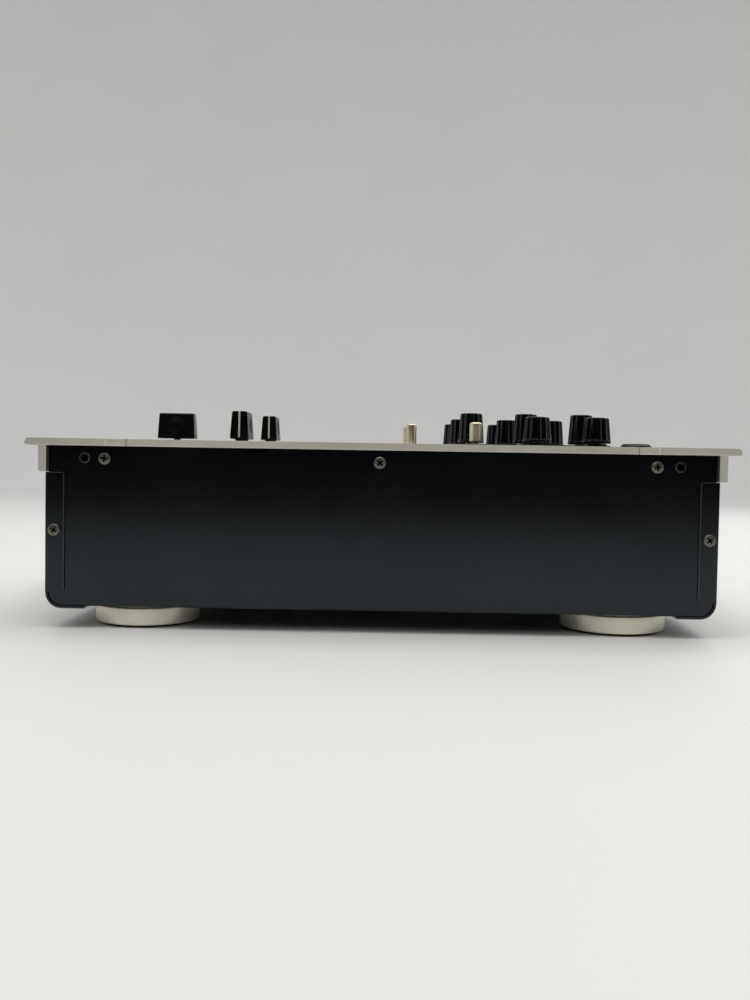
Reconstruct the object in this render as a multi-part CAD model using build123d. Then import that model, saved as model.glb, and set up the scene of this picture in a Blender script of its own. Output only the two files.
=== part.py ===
from build123d import *

import os
from math import cos, pi, sin

# A two-channel battle DJ mixer: an aluminium top plate on a black steel case, with faders, rotary controls,
# toggle switches, jacks and the boards inside. Millimetres, +Z up, +Y to the rear, +X to the user's right.
# The origin is on the surface that the mixer stands on, under its centre.

# ---------------------------------------------------------------- driving dimensions
WIDTH = 254.0
DEPTH = 354.0
SHEET = 1.2  # steel of the case
GAP = 0.3  # clearance beside anything that moves

PLATE_TOP = 95.1
PLATE_THICK = 3.6
PLATE_BOTTOM = PLATE_TOP - PLATE_THICK
WAIST_DEPTH = 3.2  # the plate's sides step in by this much
WAIST_HALF = 127.2  # half length of the straight part of the waist
WAIST_RADIUS = 15.6
LEG_THICK = 4.0
LEG_OUTER = 170.2  # outer face of the front and rear legs, from the centre
LEG_BOTTOM = 78.4

WALL_X = 123.5  # outer face of the side walls
CASE_Y = 167.6  # outer face of the front and rear covers
PAN_BOTTOM = 11.1
COVER_BOTTOM = PAN_BOTTOM - SHEET
COVER_TOP = LEG_BOTTOM - 0.2
CORNER_RADIUS = 8.0
COVER_LIP_END = 148.0
FLANGE_INNER = 158.0
FLANGE_BOTTOM = 18.2

FOOT_RADIUS = 26.9
FOOT_X = 94.0
FOOT_Y = 122.7
PAD_THICK = 1.2
PAD_RADIUS = 24.5

SCREW_HEAD_RADIUS = 3.15
SCREW_HEAD_HEIGHT = 1.9
SCREW_SHANK_RADIUS = 1.45
SCREW_HOLE_RADIUS = 1.65
TOP_SCREW_Z = 85.2
TOP_SCREW_YS = (-137.9, -0.9, 136.4)
RAIL_SCREW_X = 116.0
RAIL_SCREW_YS = (-70.0, 70.0)
FLANGE_SCREW_Y = 162.6
FLANGE_SCREW_Z = 49.4
EAR_NUT_Y = 148.0
EAR_NUT_Z = 85.5
EAR_NUT_BORE = 1.5

# rotary controls stand in columns, and these are their y values from front to rear
EQ_X = 72.0
EQ_YS = {"low": 48.5, "mid": 78.4, "high": 108.6}
MASTER_YS = {"booth": 47.9, "balance": 76.6, "master": 105.2}
MIC_X = 105.0
MIC_SWITCH_Y = 48.0
MIC_YS = {"mic_tone": 79.6, "mic_level": 110.1}
SHAFT_RADIUS = 3.0
BUSHING_RADIUS = 3.5
BUSHING_HOLE = 3.7
BUSHING_BORE = SHAFT_RADIUS + 0.08
NUT_HEIGHT = 1.0
KNOB_GAP = 2.0
TALL_KNOB = {"height": 16.1, "base": 7.0, "top": 5.9}
SHORT_KNOB = {"height": 13.25, "base": 7.3, "top": 6.2}
KNOB_FLUTES = 12
OVERLAY_X = 117.0
OVERLAY_YS = (36.0, 115.0)
OVERLAY_THICK = 0.6

# toggle switches
TOGGLE_PIVOT_Z = 87.0
TOGGLE_HOLE = 3.3
LEVER_CAP_RADIUS = 3.1
LEVER_GAP = 0.7  # between a lever cap's chamfered foot and the surface below
LEVER_CHAMFER = (1.2, 0.7)
TOGGLES = {
    "left_input": {"x": -18.0, "y": 15.8, "top": 109.5, "over": PLATE_TOP},
    "right_input": {"x": 18.0, "y": 17.1, "top": 109.4, "over": PLATE_TOP},
    "mic": {"x": MIC_X, "y": MIC_SWITCH_Y, "top": 107.0, "over": PLATE_TOP + OVERLAY_THICK},
}

# faders: "at" is where the cap stands along the travel, from its middle
FADER_SLOT_WIDTH = 2.4
STEM_THICK = 1.2
STEM_WIDTH = 4.0
CAP_HEIGHT = 15.7
CAP_LONG = (23.0, 21.2)  # at the foot and at the top
CAP_SHORT = (10.7, 8.6)
SCOOP_RADIUS = 16.6  # a finger scoop in each wide face of a cap
SCOOP_DEPTH = 1.0
HUB = (7.2, 3.1)
FADER_Y = -54.0
FADERS = {
    "crossfader": {"x": 0.0, "y": -128.4, "along_x": True, "travel": 45.0, "at": 0.0, "seat": 98.6},
    "left_fader": {"x": -45.0, "y": FADER_Y, "along_x": False, "travel": 60.0, "at": -21.5, "seat": 99.5},
    "right_fader": {"x": 45.0, "y": FADER_Y, "along_x": False, "travel": 60.0, "at": -27.4, "seat": 97.8},
}
FRAME_EXTRA = 28.0  # the frame is longer than the travel by this much
FRAME_END = 8.0
FRAME_WIDTH = 13.0
FRAME_HEIGHT = 11.0
FRAME_WALL = 1.0
FRAME_TOP = PLATE_BOTTOM - 0.1
RAIL_RADIUS = 1.0
RAIL_SPREAD = 3.4
RAIL_RISE = 5.0
SCREW_INSET = 6.0

# jacks, front controls and rear connectors
JACK_BORE = 3.2
MIC_JACK_Y = 130.4
JACK_LENGTH = 24.0
PHONES_X = -72.0
FRONT_Z = 46.0
PHONES_KNOB_X = -42.0
CUE_X = 0.0
CUE_TRAVEL = 20.0
RCA_RADIUS = 4.13
RCA_ROOT_RADIUS = 3.9
RCA_COLLAR = 0.6
RCA_LENGTH = 8.3
RCA_BORE = 1.6
RCA_GROUPS = (-66.0, -22.0, 22.0)
RCA_PITCH = 16.0
RCA_ROWS = (32.0, 50.0)
INLET_X = 72.0
INLET_Z = 42.0
INLET_CUT = (27.4, 47.4)
INLET_CAVITY = (22.0, 14.0)
ROCKER_Z = INLET_Z + 13.5
ROCKER_PIVOT_Y = CASE_Y - 1.0
ROCKER_TILT = 7.0
SOCKET_Z = INLET_Z - 10.0
GROUND_X = -96.0
GROUND_Z = 60.0
METER_XS = (-6.0, 6.0)
METER_Y = -50.0
METER_SIZE = (5.0, 62.0)
METER_LAMPS = 10
BOARD_TOP = 21.6


# ---------------------------------------------------------------- small helpers
def block(x, y, z):
    """A box given by its low and high values along each axis."""
    size = [b - a for a, b in (x, y, z)]
    middle = [(a + b) / 2 for a, b in (x, y, z)]
    return Pos(*middle) * Box(*size)


def rod(x, y, low, high, radius):
    """An upright cylinder."""
    return Pos(x, y, (low + high) / 2) * Cylinder(radius, high - low)


def rod_y(x, z, low, high, radius):
    """A cylinder along Y."""
    return Pos(x, (low + high) / 2, z) * Rot(90, 0, 0) * Cylinder(radius, high - low)


def rod_x(y, z, low, high, radius):
    """A cylinder along X."""
    return Pos((low + high) / 2, y, z) * Rot(0, 90, 0) * Cylinder(radius, high - low)


def turned(points):
    """A solid of revolution about Z, from points (radius, height)."""
    outline = Plane.XZ * make_face(Polyline(*points, close=True))
    return revolve(outline, Axis.Z)


def save(name, *solids):
    """Writes one node. Several solids stay separate pieces of that node."""
    shape = solids[0] if len(solids) == 1 else Compound(list(solids))
    export_step(shape, f"parts/{name}.step")


def mirrored_sides():
    """-1 for the left or front, 1 for the right or rear."""
    return (-1, 1)


# ---------------------------------------------------------------- where things stand
def knob_table():
    """Every rotary control on the plate: name, x, y and shape."""
    table = []
    for row, y in EQ_YS.items():
        table.append((f"left_{row}_eq", -EQ_X, y, TALL_KNOB))
        table.append((f"right_{row}_eq", EQ_X, y, TALL_KNOB))
    for name, y in MASTER_YS.items():
        table.append((name, 0.0, y, TALL_KNOB))
    for name, y in MIC_YS.items():
        table.append((name, MIC_X, y, SHORT_KNOB))
    return table


def case_screw_places():
    """Side, y, z and the x of the sheet that the head bears on."""
    places = []
    for side in mirrored_sides():
        for y in TOP_SCREW_YS:
            places.append((side, y, TOP_SCREW_Z, WALL_X))
        for end in mirrored_sides():
            places.append((side, end * FLANGE_SCREW_Y, FLANGE_SCREW_Z, WALL_X + SHEET))
    return places


def frame_half(fader):
    """Half length of a fader's frame."""
    return (fader["travel"] + FRAME_EXTRA) / 2


def fader_screw_places():
    """x and y of the flat-head screws that hold the fader frames to the plate."""
    places = []
    for fader in FADERS.values():
        for end in mirrored_sides():
            shift = end * (frame_half(fader) - SCREW_INSET)
            if fader["along_x"]:
                places.append((fader["x"] + shift, fader["y"]))
            else:
                places.append((fader["x"], fader["y"] + shift))
    return places


# ---------------------------------------------------------------- case
def top_plate():
    """Extruded plate with a lip and a leg at the front and the rear, and a waist cut in each side."""
    leg_inner = LEG_OUTER - LEG_THICK
    half = [
        (0, PLATE_TOP),
        (DEPTH / 2, PLATE_TOP),
        (DEPTH / 2, PLATE_BOTTOM),
        (LEG_OUTER, PLATE_BOTTOM),
        (LEG_OUTER, LEG_BOTTOM),
        (leg_inner, LEG_BOTTOM),
        (leg_inner, PLATE_BOTTOM),
        (0, PLATE_BOTTOM),
    ]
    profile = make_face(Polyline(*half, close=True))
    tip = [v for v in profile.vertices() if abs(v.X - DEPTH / 2) < 0.01]
    profile = fillet([v for v in tip if v.Y > PLATE_TOP - 0.1], 2.0)
    low_tip = [v for v in profile.vertices() if abs(v.X - DEPTH / 2) < 0.01 and v.Y < PLATE_BOTTOM + 0.1]
    profile = fillet(low_tip, 0.8)
    feet = [v for v in profile.vertices() if abs(v.Y - LEG_BOTTOM) < 0.01]
    profile = fillet(feet, 0.5)
    section = Plane.YZ * profile
    rear = Pos(-WIDTH / 2, 0, 0) * extrude(section, WIDTH)
    plate = rear + mirror(rear, Plane.XZ)
    edge = WIDTH / 2 - WAIST_DEPTH
    for side in mirrored_sides():
        plate -= block(sorted((side * edge, side * WIDTH)), (-WAIST_HALF, WAIST_HALF), (0, 200))
        for end in mirrored_sides():
            plate -= rod(side * (edge + WAIST_RADIUS), end * WAIST_HALF, 0, 200, WAIST_RADIUS)
    for _, x, y, _ in knob_table():
        plate -= rod(x, y, 0, 200, BUSHING_HOLE)
    for toggle in TOGGLES.values():
        plate -= rod(toggle["x"], toggle["y"], 0, 200, TOGGLE_HOLE)
    for fader in FADERS.values():
        plate -= fader_slot(fader)
    for x, y in fader_screw_places():
        plate -= flat_screw_seat(x, y)
    for x in METER_XS:
        plate -= Pos(x, METER_Y, PLATE_BOTTOM + PLATE_THICK / 2) * Box(*METER_SIZE, PLATE_THICK + 1)
    plate -= rod(MIC_X, MIC_JACK_Y, 0, 200, 5.1)
    for side in mirrored_sides():
        for y in RAIL_SCREW_YS:
            plate -= rod(side * RAIL_SCREW_X, y, 0, PLATE_BOTTOM + 2.6, SCREW_SHANK_RADIUS + 0.05)
    return plate


def fader_slot(fader):
    """The slot that a fader's stem runs in, right through the plate."""
    length = fader["travel"] + STEM_WIDTH + 2.0
    size = (length, FADER_SLOT_WIDTH) if fader["along_x"] else (FADER_SLOT_WIDTH, length)
    return Pos(fader["x"], fader["y"], PLATE_TOP) * Box(*size, 4 * PLATE_THICK)


def flat_screw_seat(x, y):
    """Countersunk hole for a flat-head screw."""
    cone = Pos(x, y, PLATE_TOP - 0.8) * Cone(1.5, 3.2, 1.7)
    return rod(x, y, PLATE_BOTTOM - 1, PLATE_TOP, 1.55) + cone


def plate_rails():
    """Two aluminium angles that join the side walls to the plate."""
    rails = []
    for side in mirrored_sides():
        outer = WALL_X - SHEET - 0.1
        upright = block((outer - 2.5, outer), (-140.5, 140.5), (80.0, PLATE_BOTTOM - 0.1))
        flat = block((outer - 10.0, outer), (-140.5, 140.5), (PLATE_BOTTOM - 2.6, PLATE_BOTTOM - 0.1))
        rail = upright + flat
        for y in TOP_SCREW_YS:
            rail -= rod_x(y, TOP_SCREW_Z, outer - 10, outer + 1, SCREW_SHANK_RADIUS + 0.05)
        for y in RAIL_SCREW_YS:
            rail -= rod(RAIL_SCREW_X, y, 80, 100, SCREW_HOLE_RADIUS)
        rails.append(rail if side > 0 else mirror(rail, Plane.YZ))
    return rails


def bottom_pan():
    """Bottom sheet with both side walls folded up, and rounded corners that fit inside the covers."""
    front = CASE_Y - SHEET - 0.2
    wall = block((WALL_X - SHEET, WALL_X), (-front, front), (PAN_BOTTOM, PLATE_BOTTOM - 0.2))
    low_corners = wall.edges().filter_by(Axis.X).group_by(Axis.Z)[0]
    wall = fillet(low_corners, CORNER_RADIUS - SHEET)
    for y in TOP_SCREW_YS:
        wall -= rod_x(y, TOP_SCREW_Z, 0, 200, SCREW_HOLE_RADIUS)
    for end in mirrored_sides():
        wall -= rod_x(end * FLANGE_SCREW_Y, FLANGE_SCREW_Z, 0, 200, SCREW_SHANK_RADIUS + 0.05)
        wall -= rod_x(end * EAR_NUT_Y, EAR_NUT_Z, 0, 200, 2.2)
    floor_end = front - CORNER_RADIUS + SHEET
    floor = block((-WALL_X, WALL_X), (-floor_end, floor_end), (PAN_BOTTOM, PAN_BOTTOM + SHEET))
    pan = floor + wall + mirror(wall, Plane.YZ)
    outer_folds = [
        e for e in pan.edges().filter_by(Axis.Y)
        if abs(abs(e.center().X) - WALL_X) < 0.01 and abs(e.center().Z - PAN_BOTTOM) < 0.01
    ]
    pan = fillet(outer_folds, 1.0)
    for x, y in foot_places():
        pan -= rod(x, y, 0, 30, 2.1)
    for x in range(-60, 61, 12):
        for y in (-20.0, 40.0):
            pan -= vent_slot(x, y)
    return pan


def vent_slot(x, y):
    """A round-ended slot in the bottom sheet."""
    cutter = Pos(x, y, PAN_BOTTOM - 1) * extrude(SlotOverall(36.0, 3.0, rotation=90), 4)
    return cutter


def cover(end):
    """Front (-1) or rear (1) cover: a face, a round bend, a lip under the pan, and a flange on each side."""
    outer = block((-WALL_X, WALL_X), (0, CASE_Y), (COVER_BOTTOM, COVER_TOP))
    bend = [e for e in outer.edges().filter_by(Axis.X) if e.center().Y > 1 and e.center().Z < PAN_BOTTOM]
    outer = fillet(bend, CORNER_RADIUS)
    inner = block((-WALL_X, WALL_X), (-1, CASE_Y - SHEET), (COVER_BOTTOM + SHEET, COVER_TOP + 1))
    bend = [
        e for e in inner.edges().filter_by(Axis.X) if e.center().Y > 1 and e.center().Z < PAN_BOTTOM + SHEET
    ]
    inner = fillet(bend, CORNER_RADIUS - SHEET)
    shell = outer - inner
    shell -= block((-WALL_X, WALL_X), (-1, COVER_LIP_END), (0, 30))
    for side in mirrored_sides():
        x = sorted((side * WALL_X, side * (WALL_X + SHEET)))
        flange = block(x, (FLANGE_INNER, CASE_Y), (FLANGE_BOTTOM, COVER_TOP))
        corner = [
            e
            for e in flange.edges().filter_by(Axis.Z)
            if e.center().Y > CASE_Y - 1 and abs(e.center().X) > WALL_X + 1
        ]
        flange = fillet(corner, SHEET - 0.1)
        tab = [e for e in flange.edges().filter_by(Axis.X) if e.center().Y < FLANGE_INNER + 1]
        flange = fillet(tab, 1.5)
        shell += flange
    for side in mirrored_sides():
        low, high = side * WALL_X - 3, side * WALL_X + 3
        shell -= rod_x(FLANGE_SCREW_Y, FLANGE_SCREW_Z, low, high, SCREW_HOLE_RADIUS)
    return shell if end > 0 else mirror(shell, Plane.XZ)


def front_cover():
    """Cover with the holes of the headphone jack, its level control and the cue slider."""
    face = cover(-1)
    face -= rod_y(PHONES_X, FRONT_Z, -200, -100, 5.1)
    face -= rod_y(PHONES_KNOB_X, FRONT_Z, -200, -100, BUSHING_HOLE)
    slot = CUE_TRAVEL + STEM_WIDTH + 2.0
    face -= Pos(CUE_X, -CASE_Y, FRONT_Z) * Box(slot, 10, FADER_SLOT_WIDTH)
    return face


def rear_panel():
    """Cover with the holes of the phono sockets, the mains inlet and the ground post."""
    face = cover(1)
    for x, z in rca_places():
        face -= rod_y(x, z, 100, 200, 5.2)
    face -= Pos(INLET_X, CASE_Y, INLET_Z) * Box(INLET_CUT[0], 10, INLET_CUT[1])
    face -= rod_y(GROUND_X, GROUND_Z, 100, 200, 2.6)
    return face


def ear_nuts():
    """Rivet nuts in the side walls that take rack ears."""
    nuts = []
    for side in mirrored_sides():
        for end in mirrored_sides():
            y = end * EAR_NUT_Y
            flange = rod_x(y, EAR_NUT_Z, WALL_X, WALL_X + 0.5, 2.6)
            barrel = rod_x(y, EAR_NUT_Z, WALL_X - 6.0, WALL_X, 2.1)
            bore = rod_x(y, EAR_NUT_Z, WALL_X - 7, WALL_X + 1, EAR_NUT_BORE)
            nut = flange + barrel - bore
            nuts.append(nut if side > 0 else mirror(nut, Plane.YZ))
    return nuts


# ---------------------------------------------------------------- feet and fasteners
def foot_places():
    """Centres of the four feet."""
    return [(side * FOOT_X, end * FOOT_Y) for side in mirrored_sides() for end in mirrored_sides()]


def foot(x, y):
    """Turned aluminium foot with a recess for its pad and a counterbored screw hole."""
    profile = [
        (2.2, 4.5),
        (5.0, 4.5),
        (5.0, 2.0),
        (PAD_RADIUS + 0.1, 2.0),
        (PAD_RADIUS + 0.1, PAD_THICK),
        (FOOT_RADIUS - 0.6, PAD_THICK),
        (FOOT_RADIUS, PAD_THICK + 0.6),
        (FOOT_RADIUS, COVER_BOTTOM - 0.7),
        (FOOT_RADIUS - 0.7, COVER_BOTTOM),
        (FOOT_RADIUS - 3.0, COVER_BOTTOM),
        (FOOT_RADIUS - 3.0, PAN_BOTTOM),
        (2.2, PAN_BOTTOM),
    ]
    return Pos(x, y, 0) * turned(profile)


def foot_pad(x, y):
    """Rubber ring let into the foot's underside."""
    ring = rod(x, y, 0, 2.0, PAD_RADIUS) - rod(x, y, -1, 3, 8.0)
    return ring


def foot_screw(x, y):
    """Pan-head screw that holds a foot to the bottom sheet."""
    head = rod(x, y, 1.9, 4.5, 3.8)
    shank = rod(x, y, 4.5, 17.0, 2.0)
    return head + shank - cross_recess(x, y, 1.9, 1)


def cross_recess(x, y, z, up, arm=3.4, width=0.75, depth=1.1):
    """A cross-head recess in a face at height z. up is 1 if the recess goes upward."""
    centre = z + up * depth / 2
    bar = Pos(x, y, centre) * Box(arm, width, depth)
    return bar + Pos(x, y, centre) * Box(width, arm, depth)


def case_screw(side, y, z, face_x):
    """Bind-head screw: a shallow dome with a cross recess, and its shank."""
    radius = SCREW_HEAD_RADIUS
    dome = turned([(0, 0), (radius, 0), (radius, 0.9), (2.2, 1.6), (0, SCREW_HEAD_HEIGHT)])
    screw = dome + rod(0, 0, -6.5, 0, SCREW_SHANK_RADIUS)
    screw -= cross_recess(0, 0, SCREW_HEAD_HEIGHT, -1)
    screw = Pos(face_x, y, z) * Rot(0, 90, 0) * Rot(0, 0, 7 * y) * screw
    return screw if side > 0 else mirror(screw, Plane.YZ)


def panel_screw(x, y):
    """Flat-head screw, flush with the plate, that holds a fader frame."""
    head = Pos(x, y, PLATE_TOP - 0.9) * Cone(1.3, 2.9, 1.6)
    shank = rod(x, y, PLATE_BOTTOM - 4.0, PLATE_TOP - 1.2, 1.25)
    return head + shank - cross_recess(x, y, PLATE_TOP - 0.1, -1, arm=3.0, width=0.6, depth=0.9)


def rail_screw(side, y):
    """Screw that ties a rail up to the plate from below."""
    x = side * RAIL_SCREW_X
    head = rod(x, y, PLATE_BOTTOM - 4.4, PLATE_BOTTOM - 2.6, 2.8)
    return head + rod(x, y, PLATE_BOTTOM - 2.6, PLATE_BOTTOM + 2.4, 1.4)


# ---------------------------------------------------------------- rotary controls
def knob(x, y, shape):
    """Tapered knob with upright flutes above a plain skirt, and a bore for the shaft."""
    low = PLATE_TOP + (KNOB_GAP if shape is TALL_KNOB else KNOB_GAP - 0.2)
    high = low + shape["height"]
    base, top = shape["base"], shape["top"]
    skirt = 1.3
    outline = [(0, low), (base, low), (base, low + skirt), (top, high - 1.2), (top - 1.0, high), (0, high)]
    body = turned(outline)
    crown = body.edges().filter_by(GeomType.CIRCLE).group_by(Axis.Z)[-2:]
    body = fillet([e for group in crown for e in group], 0.45)
    lean = (base - top) / (shape["height"] - skirt - 1.2)
    cutter_radius = 2.6
    for i in range(KNOB_FLUTES):
        angle = (i + 0.5) * 360.0 / KNOB_FLUTES
        reach = base - 0.62 + cutter_radius
        cutter = Pos(0, 0, 12) * Cylinder(cutter_radius, 24)
        groove = Pos(reach, 0, low + skirt) * Rot(0, -degrees_of(lean), 0) * cutter
        body -= Rot(0, 0, angle) * groove
    body = Pos(x, y, 0) * body
    return body - rod(x, y, low - 1, high - 4.0, SHAFT_RADIUS + 0.05)


def degrees_of(slope):
    """The angle in degrees of a small slope, to third order."""
    return (slope - slope**3 / 3) * 180 / pi


def pot_shaft(x, y, shape):
    """Shaft with a slotted top, from inside the control up into the knob."""
    low = PLATE_TOP + (KNOB_GAP if shape is TALL_KNOB else KNOB_GAP - 0.2)
    high = low + shape["height"] - 4.3
    shaft = rod(x, y, 84.6, high, SHAFT_RADIUS)
    return shaft - Pos(x, y, high - 2.5) * Box(0.8, 8, 5.0)


def pot_body(x, y):
    """Housing and bushing of a rotary control, under the plate."""
    housing = block((x - 5.5, x + 5.5), (y - 6.0, y + 6.0), (83.2, 90.0))
    bushing = rod(x, y, 90.0, PLATE_TOP + OVERLAY_THICK + NUT_HEIGHT, BUSHING_RADIUS)
    return housing + bushing - rod(x, y, 84.4, 100, BUSHING_BORE)


def pot_nut(x, y):
    """Hexagon nut on the bushing."""
    hexagon = extrude(RegularPolygon(5.4, 6), NUT_HEIGHT)
    return Pos(x, y, PLATE_TOP + OVERLAY_THICK) * hexagon - rod(x, y, 90, 100, BUSHING_RADIUS + 0.05)


# ---------------------------------------------------------------- toggle switches
def toggle_body(toggle):
    """Switch housing with a short bushing up to the plate."""
    x, y = toggle["x"], toggle["y"]
    housing = block((x - 6.5, x + 6.5), (y - 4.0, y + 4.0), (74.0, 84.0))
    bushing = rod(x, y, 84.0, PLATE_BOTTOM - 0.2, 4.4)
    well = turned([(0, 80.0), (2.4, 80.0), (2.4, 87.0), (3.4, 100.0), (0, 100.0)])
    return housing + bushing - Pos(x, y, 0) * well


def toggle_lever(toggle):
    """Steel bat with a round aluminium cap."""
    x, y, top = toggle["x"], toggle["y"], toggle["top"]
    bat = rod(x, y, 85.6, PLATE_TOP + 4.0, 1.4)
    pivot = Pos(x, y, TOGGLE_PIVOT_Z) * Sphere(2.0)
    foot = toggle["over"] + LEVER_GAP
    narrow, rise = LEVER_CAP_RADIUS - LEVER_CHAMFER[0], foot + LEVER_CHAMFER[1]
    outline = [(0, foot), (narrow, foot), (LEVER_CAP_RADIUS, rise), (LEVER_CAP_RADIUS, top), (0, top)]
    cap = Pos(x, y, 0) * turned(outline)
    rim = cap.edges().filter_by(GeomType.CIRCLE).group_by(Axis.Z)
    cap = fillet(rim[-1], 0.8)
    return bat + pivot + cap


# ---------------------------------------------------------------- faders
def placed(fader, shape, shift=0.0):
    """Puts a fader piece that was drawn with its travel along X, shifted along the travel."""
    turn = 0 if fader["along_x"] else 90
    return Pos(fader["x"], fader["y"], 0) * Rot(0, 0, turn) * Pos(shift, 0, 0) * shape


def fader_frame(fader):
    """Steel channel that holds the rails, with a slot for the stem."""
    low = FRAME_TOP - FRAME_HEIGHT
    half = frame_half(fader)
    inner = half - FRAME_END
    frame = block((-half, half), (-FRAME_WIDTH / 2, FRAME_WIDTH / 2), (low, FRAME_TOP))
    hollow = FRAME_WIDTH / 2 - FRAME_WALL
    frame -= block((-inner, inner), (-hollow, hollow), (low + FRAME_WALL, FRAME_TOP - FRAME_WALL))
    slot = fader["travel"] + STEM_WIDTH + 2.0
    frame -= block((-slot / 2, slot / 2), (-1.6, 1.6), (FRAME_TOP - 3, FRAME_TOP + 1))
    for end in mirrored_sides():
        frame -= rod(end * (half - SCREW_INSET), 0, FRAME_TOP - 6, FRAME_TOP + 1, 1.3)
        for side in mirrored_sides():
            span = sorted((end * inner, end * (inner + 3.0)))
            frame -= rod_x(side * RAIL_SPREAD, low + RAIL_RISE, *span, RAIL_RADIUS + 0.02)
    return placed(fader, frame)


def fader_rail(fader, side):
    """One of the two polished rails that the carriage slides on."""
    reach = frame_half(fader) - FRAME_END + 2.9
    height = FRAME_TOP - FRAME_HEIGHT + RAIL_RISE
    return placed(fader, rod_x(side * RAIL_SPREAD, height, -reach, reach, RAIL_RADIUS))


def fader_carriage(fader):
    """Slider on the rails, with the flat steel stem that stands up through the slot."""
    low = FRAME_TOP - FRAME_HEIGHT
    slider = block((-4.5, 4.5), (-5.0, 5.0), (low + 3.0, low + 7.0))
    for side in mirrored_sides():
        slider -= rod_x(side * RAIL_SPREAD, low + RAIL_RISE, -10, 10, RAIL_RADIUS + 0.07)
    stem = block(
        (-STEM_WIDTH / 2, STEM_WIDTH / 2),
        (-STEM_THICK / 2, STEM_THICK / 2),
        (low + 7.0, fader["seat"] + 8.0),
    )
    return placed(fader, slider + stem, fader["at"])


def fader_cap(fader):
    """Push-on cap: a tapered block with rounded edges, a finger scoop in each wide face, and a hub below."""
    seat = fader["seat"]
    foot_face = Pos(0, 0, seat) * Rectangle(CAP_SHORT[0], CAP_LONG[0])
    top_face = Pos(0, 0, seat + CAP_HEIGHT) * Rectangle(CAP_SHORT[1], CAP_LONG[1])
    body = loft([foot_face, top_face])
    uprights = [e for e in body.edges() if abs(e.tangent_at(0.5).Z) > 0.5]
    body = fillet(uprights, 0.8)
    body = fillet(body.faces().sort_by(Axis.Z)[-1].edges(), 0.7)
    face_x = (CAP_SHORT[0] + CAP_SHORT[1]) / 4
    for side in mirrored_sides():
        reach = side * (face_x - SCOOP_DEPTH + SCOOP_RADIUS)
        body -= Pos(reach, 0, seat + CAP_HEIGHT / 2) * Sphere(SCOOP_RADIUS)
    hub = Pos(0, 0, (PLATE_TOP + 0.5 + seat + 0.1) / 2) * Box(*HUB, seat + 0.1 - PLATE_TOP - 0.5)
    cap = body + hub
    cap -= block(
        (-STEM_WIDTH / 2 - 0.05, STEM_WIDTH / 2 + 0.05),
        (-STEM_THICK / 2 - 0.05, STEM_THICK / 2 + 0.05),
        (0, seat + 8.3),
    )
    return placed(fader, cap, fader["at"])


# ---------------------------------------------------------------- jacks and front controls
def mic_jack():
    """Microphone jack: a round bezel on the plate, and a barrel under it."""
    bezel = turned([(0, 0), (7.8, 0), (7.8, 0.7), (6.6, 2.0), (0, 2.0)])
    jack = Pos(MIC_X, MIC_JACK_Y, PLATE_TOP) * bezel
    jack += rod(MIC_X, MIC_JACK_Y, PLATE_TOP - JACK_LENGTH + 2.0, PLATE_TOP, 5.0)
    return jack - rod(MIC_X, MIC_JACK_Y, PLATE_TOP - JACK_LENGTH + 4.0, 200, JACK_BORE)


def phones_jack():
    """Headphone jack: a round bezel on the front cover, and a barrel behind it."""
    face = -CASE_Y
    jack = rod_y(PHONES_X, FRONT_Z, face - 2.0, face, 7.5)
    jack += rod_y(PHONES_X, FRONT_Z, face, face + JACK_LENGTH - 2.0, 5.0)
    return jack - rod_y(PHONES_X, FRONT_Z, face - 3.0, face + JACK_LENGTH - 4.0, JACK_BORE)


def phones_pot():
    """Housing and bushing of the headphone level control, behind the front cover."""
    back = -CASE_Y + SHEET
    housing = block(
        (PHONES_KNOB_X - 6, PHONES_KNOB_X + 6),
        (back + 0.1, back + 8.0),
        (FRONT_Z - 6, FRONT_Z + 6),
    )
    bushing = rod_y(PHONES_KNOB_X, FRONT_Z, -CASE_Y - 0.5, back + 0.1, BUSHING_RADIUS)
    return housing + bushing - rod_y(PHONES_KNOB_X, FRONT_Z, -CASE_Y - 1, back + 6.5, BUSHING_BORE)


def phones_level_knob():
    """Small ribbed knob of the headphone level, moulded in one with its spindle."""
    face = -CASE_Y
    body = rod_y(PHONES_KNOB_X, FRONT_Z, face - 8.8, face - 1.0, 5.5)
    body = fillet(body.edges().filter_by(GeomType.CIRCLE).group_by(Axis.Y)[0], 0.8)
    for i in range(16):
        angle = 2 * pi * i / 16
        x, z = PHONES_KNOB_X + 5.9 * cos(angle), FRONT_Z + 5.9 * sin(angle)
        body -= rod_y(x, z, face - 10, face - 1.8, 0.75)
    return body + rod_y(PHONES_KNOB_X, FRONT_Z, face - 1.0, face + SHEET + 6.0, SHAFT_RADIUS)


def cue_frame():
    """Small slide control behind the front cover."""
    back = -CASE_Y + SHEET
    frame = block((CUE_X - 20, CUE_X + 20), (back + 0.1, back + 8.0), (FRONT_Z - 4.5, FRONT_Z + 4.5))
    inner = (CUE_TRAVEL + 10.0) / 2
    frame -= block((CUE_X - inner, CUE_X + inner), (back - 1, back + 6.8), (FRONT_Z - 3.0, FRONT_Z + 3.0))
    return frame


def cue_slider():
    """Cap, stem and slide of the cue control, one moulding."""
    face = -CASE_Y
    cap = block((CUE_X - 3.0, CUE_X + 3.0), (face - 7.5, face - 0.8), (FRONT_Z - 4.5, FRONT_Z + 4.5))
    cap = fillet(cap.faces().sort_by(Axis.Y)[0].edges(), 0.6)
    stem = block((CUE_X - 2.0, CUE_X + 2.0), (face - 0.8, face + SHEET + 2.0), (FRONT_Z - 0.8, FRONT_Z + 0.8))
    slide = block(
        (CUE_X - 3.5, CUE_X + 3.5),
        (face + SHEET + 2.0, face + SHEET + 6.0),
        (FRONT_Z - 2.5, FRONT_Z + 2.5),
    )
    return cap + stem + slide


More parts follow.
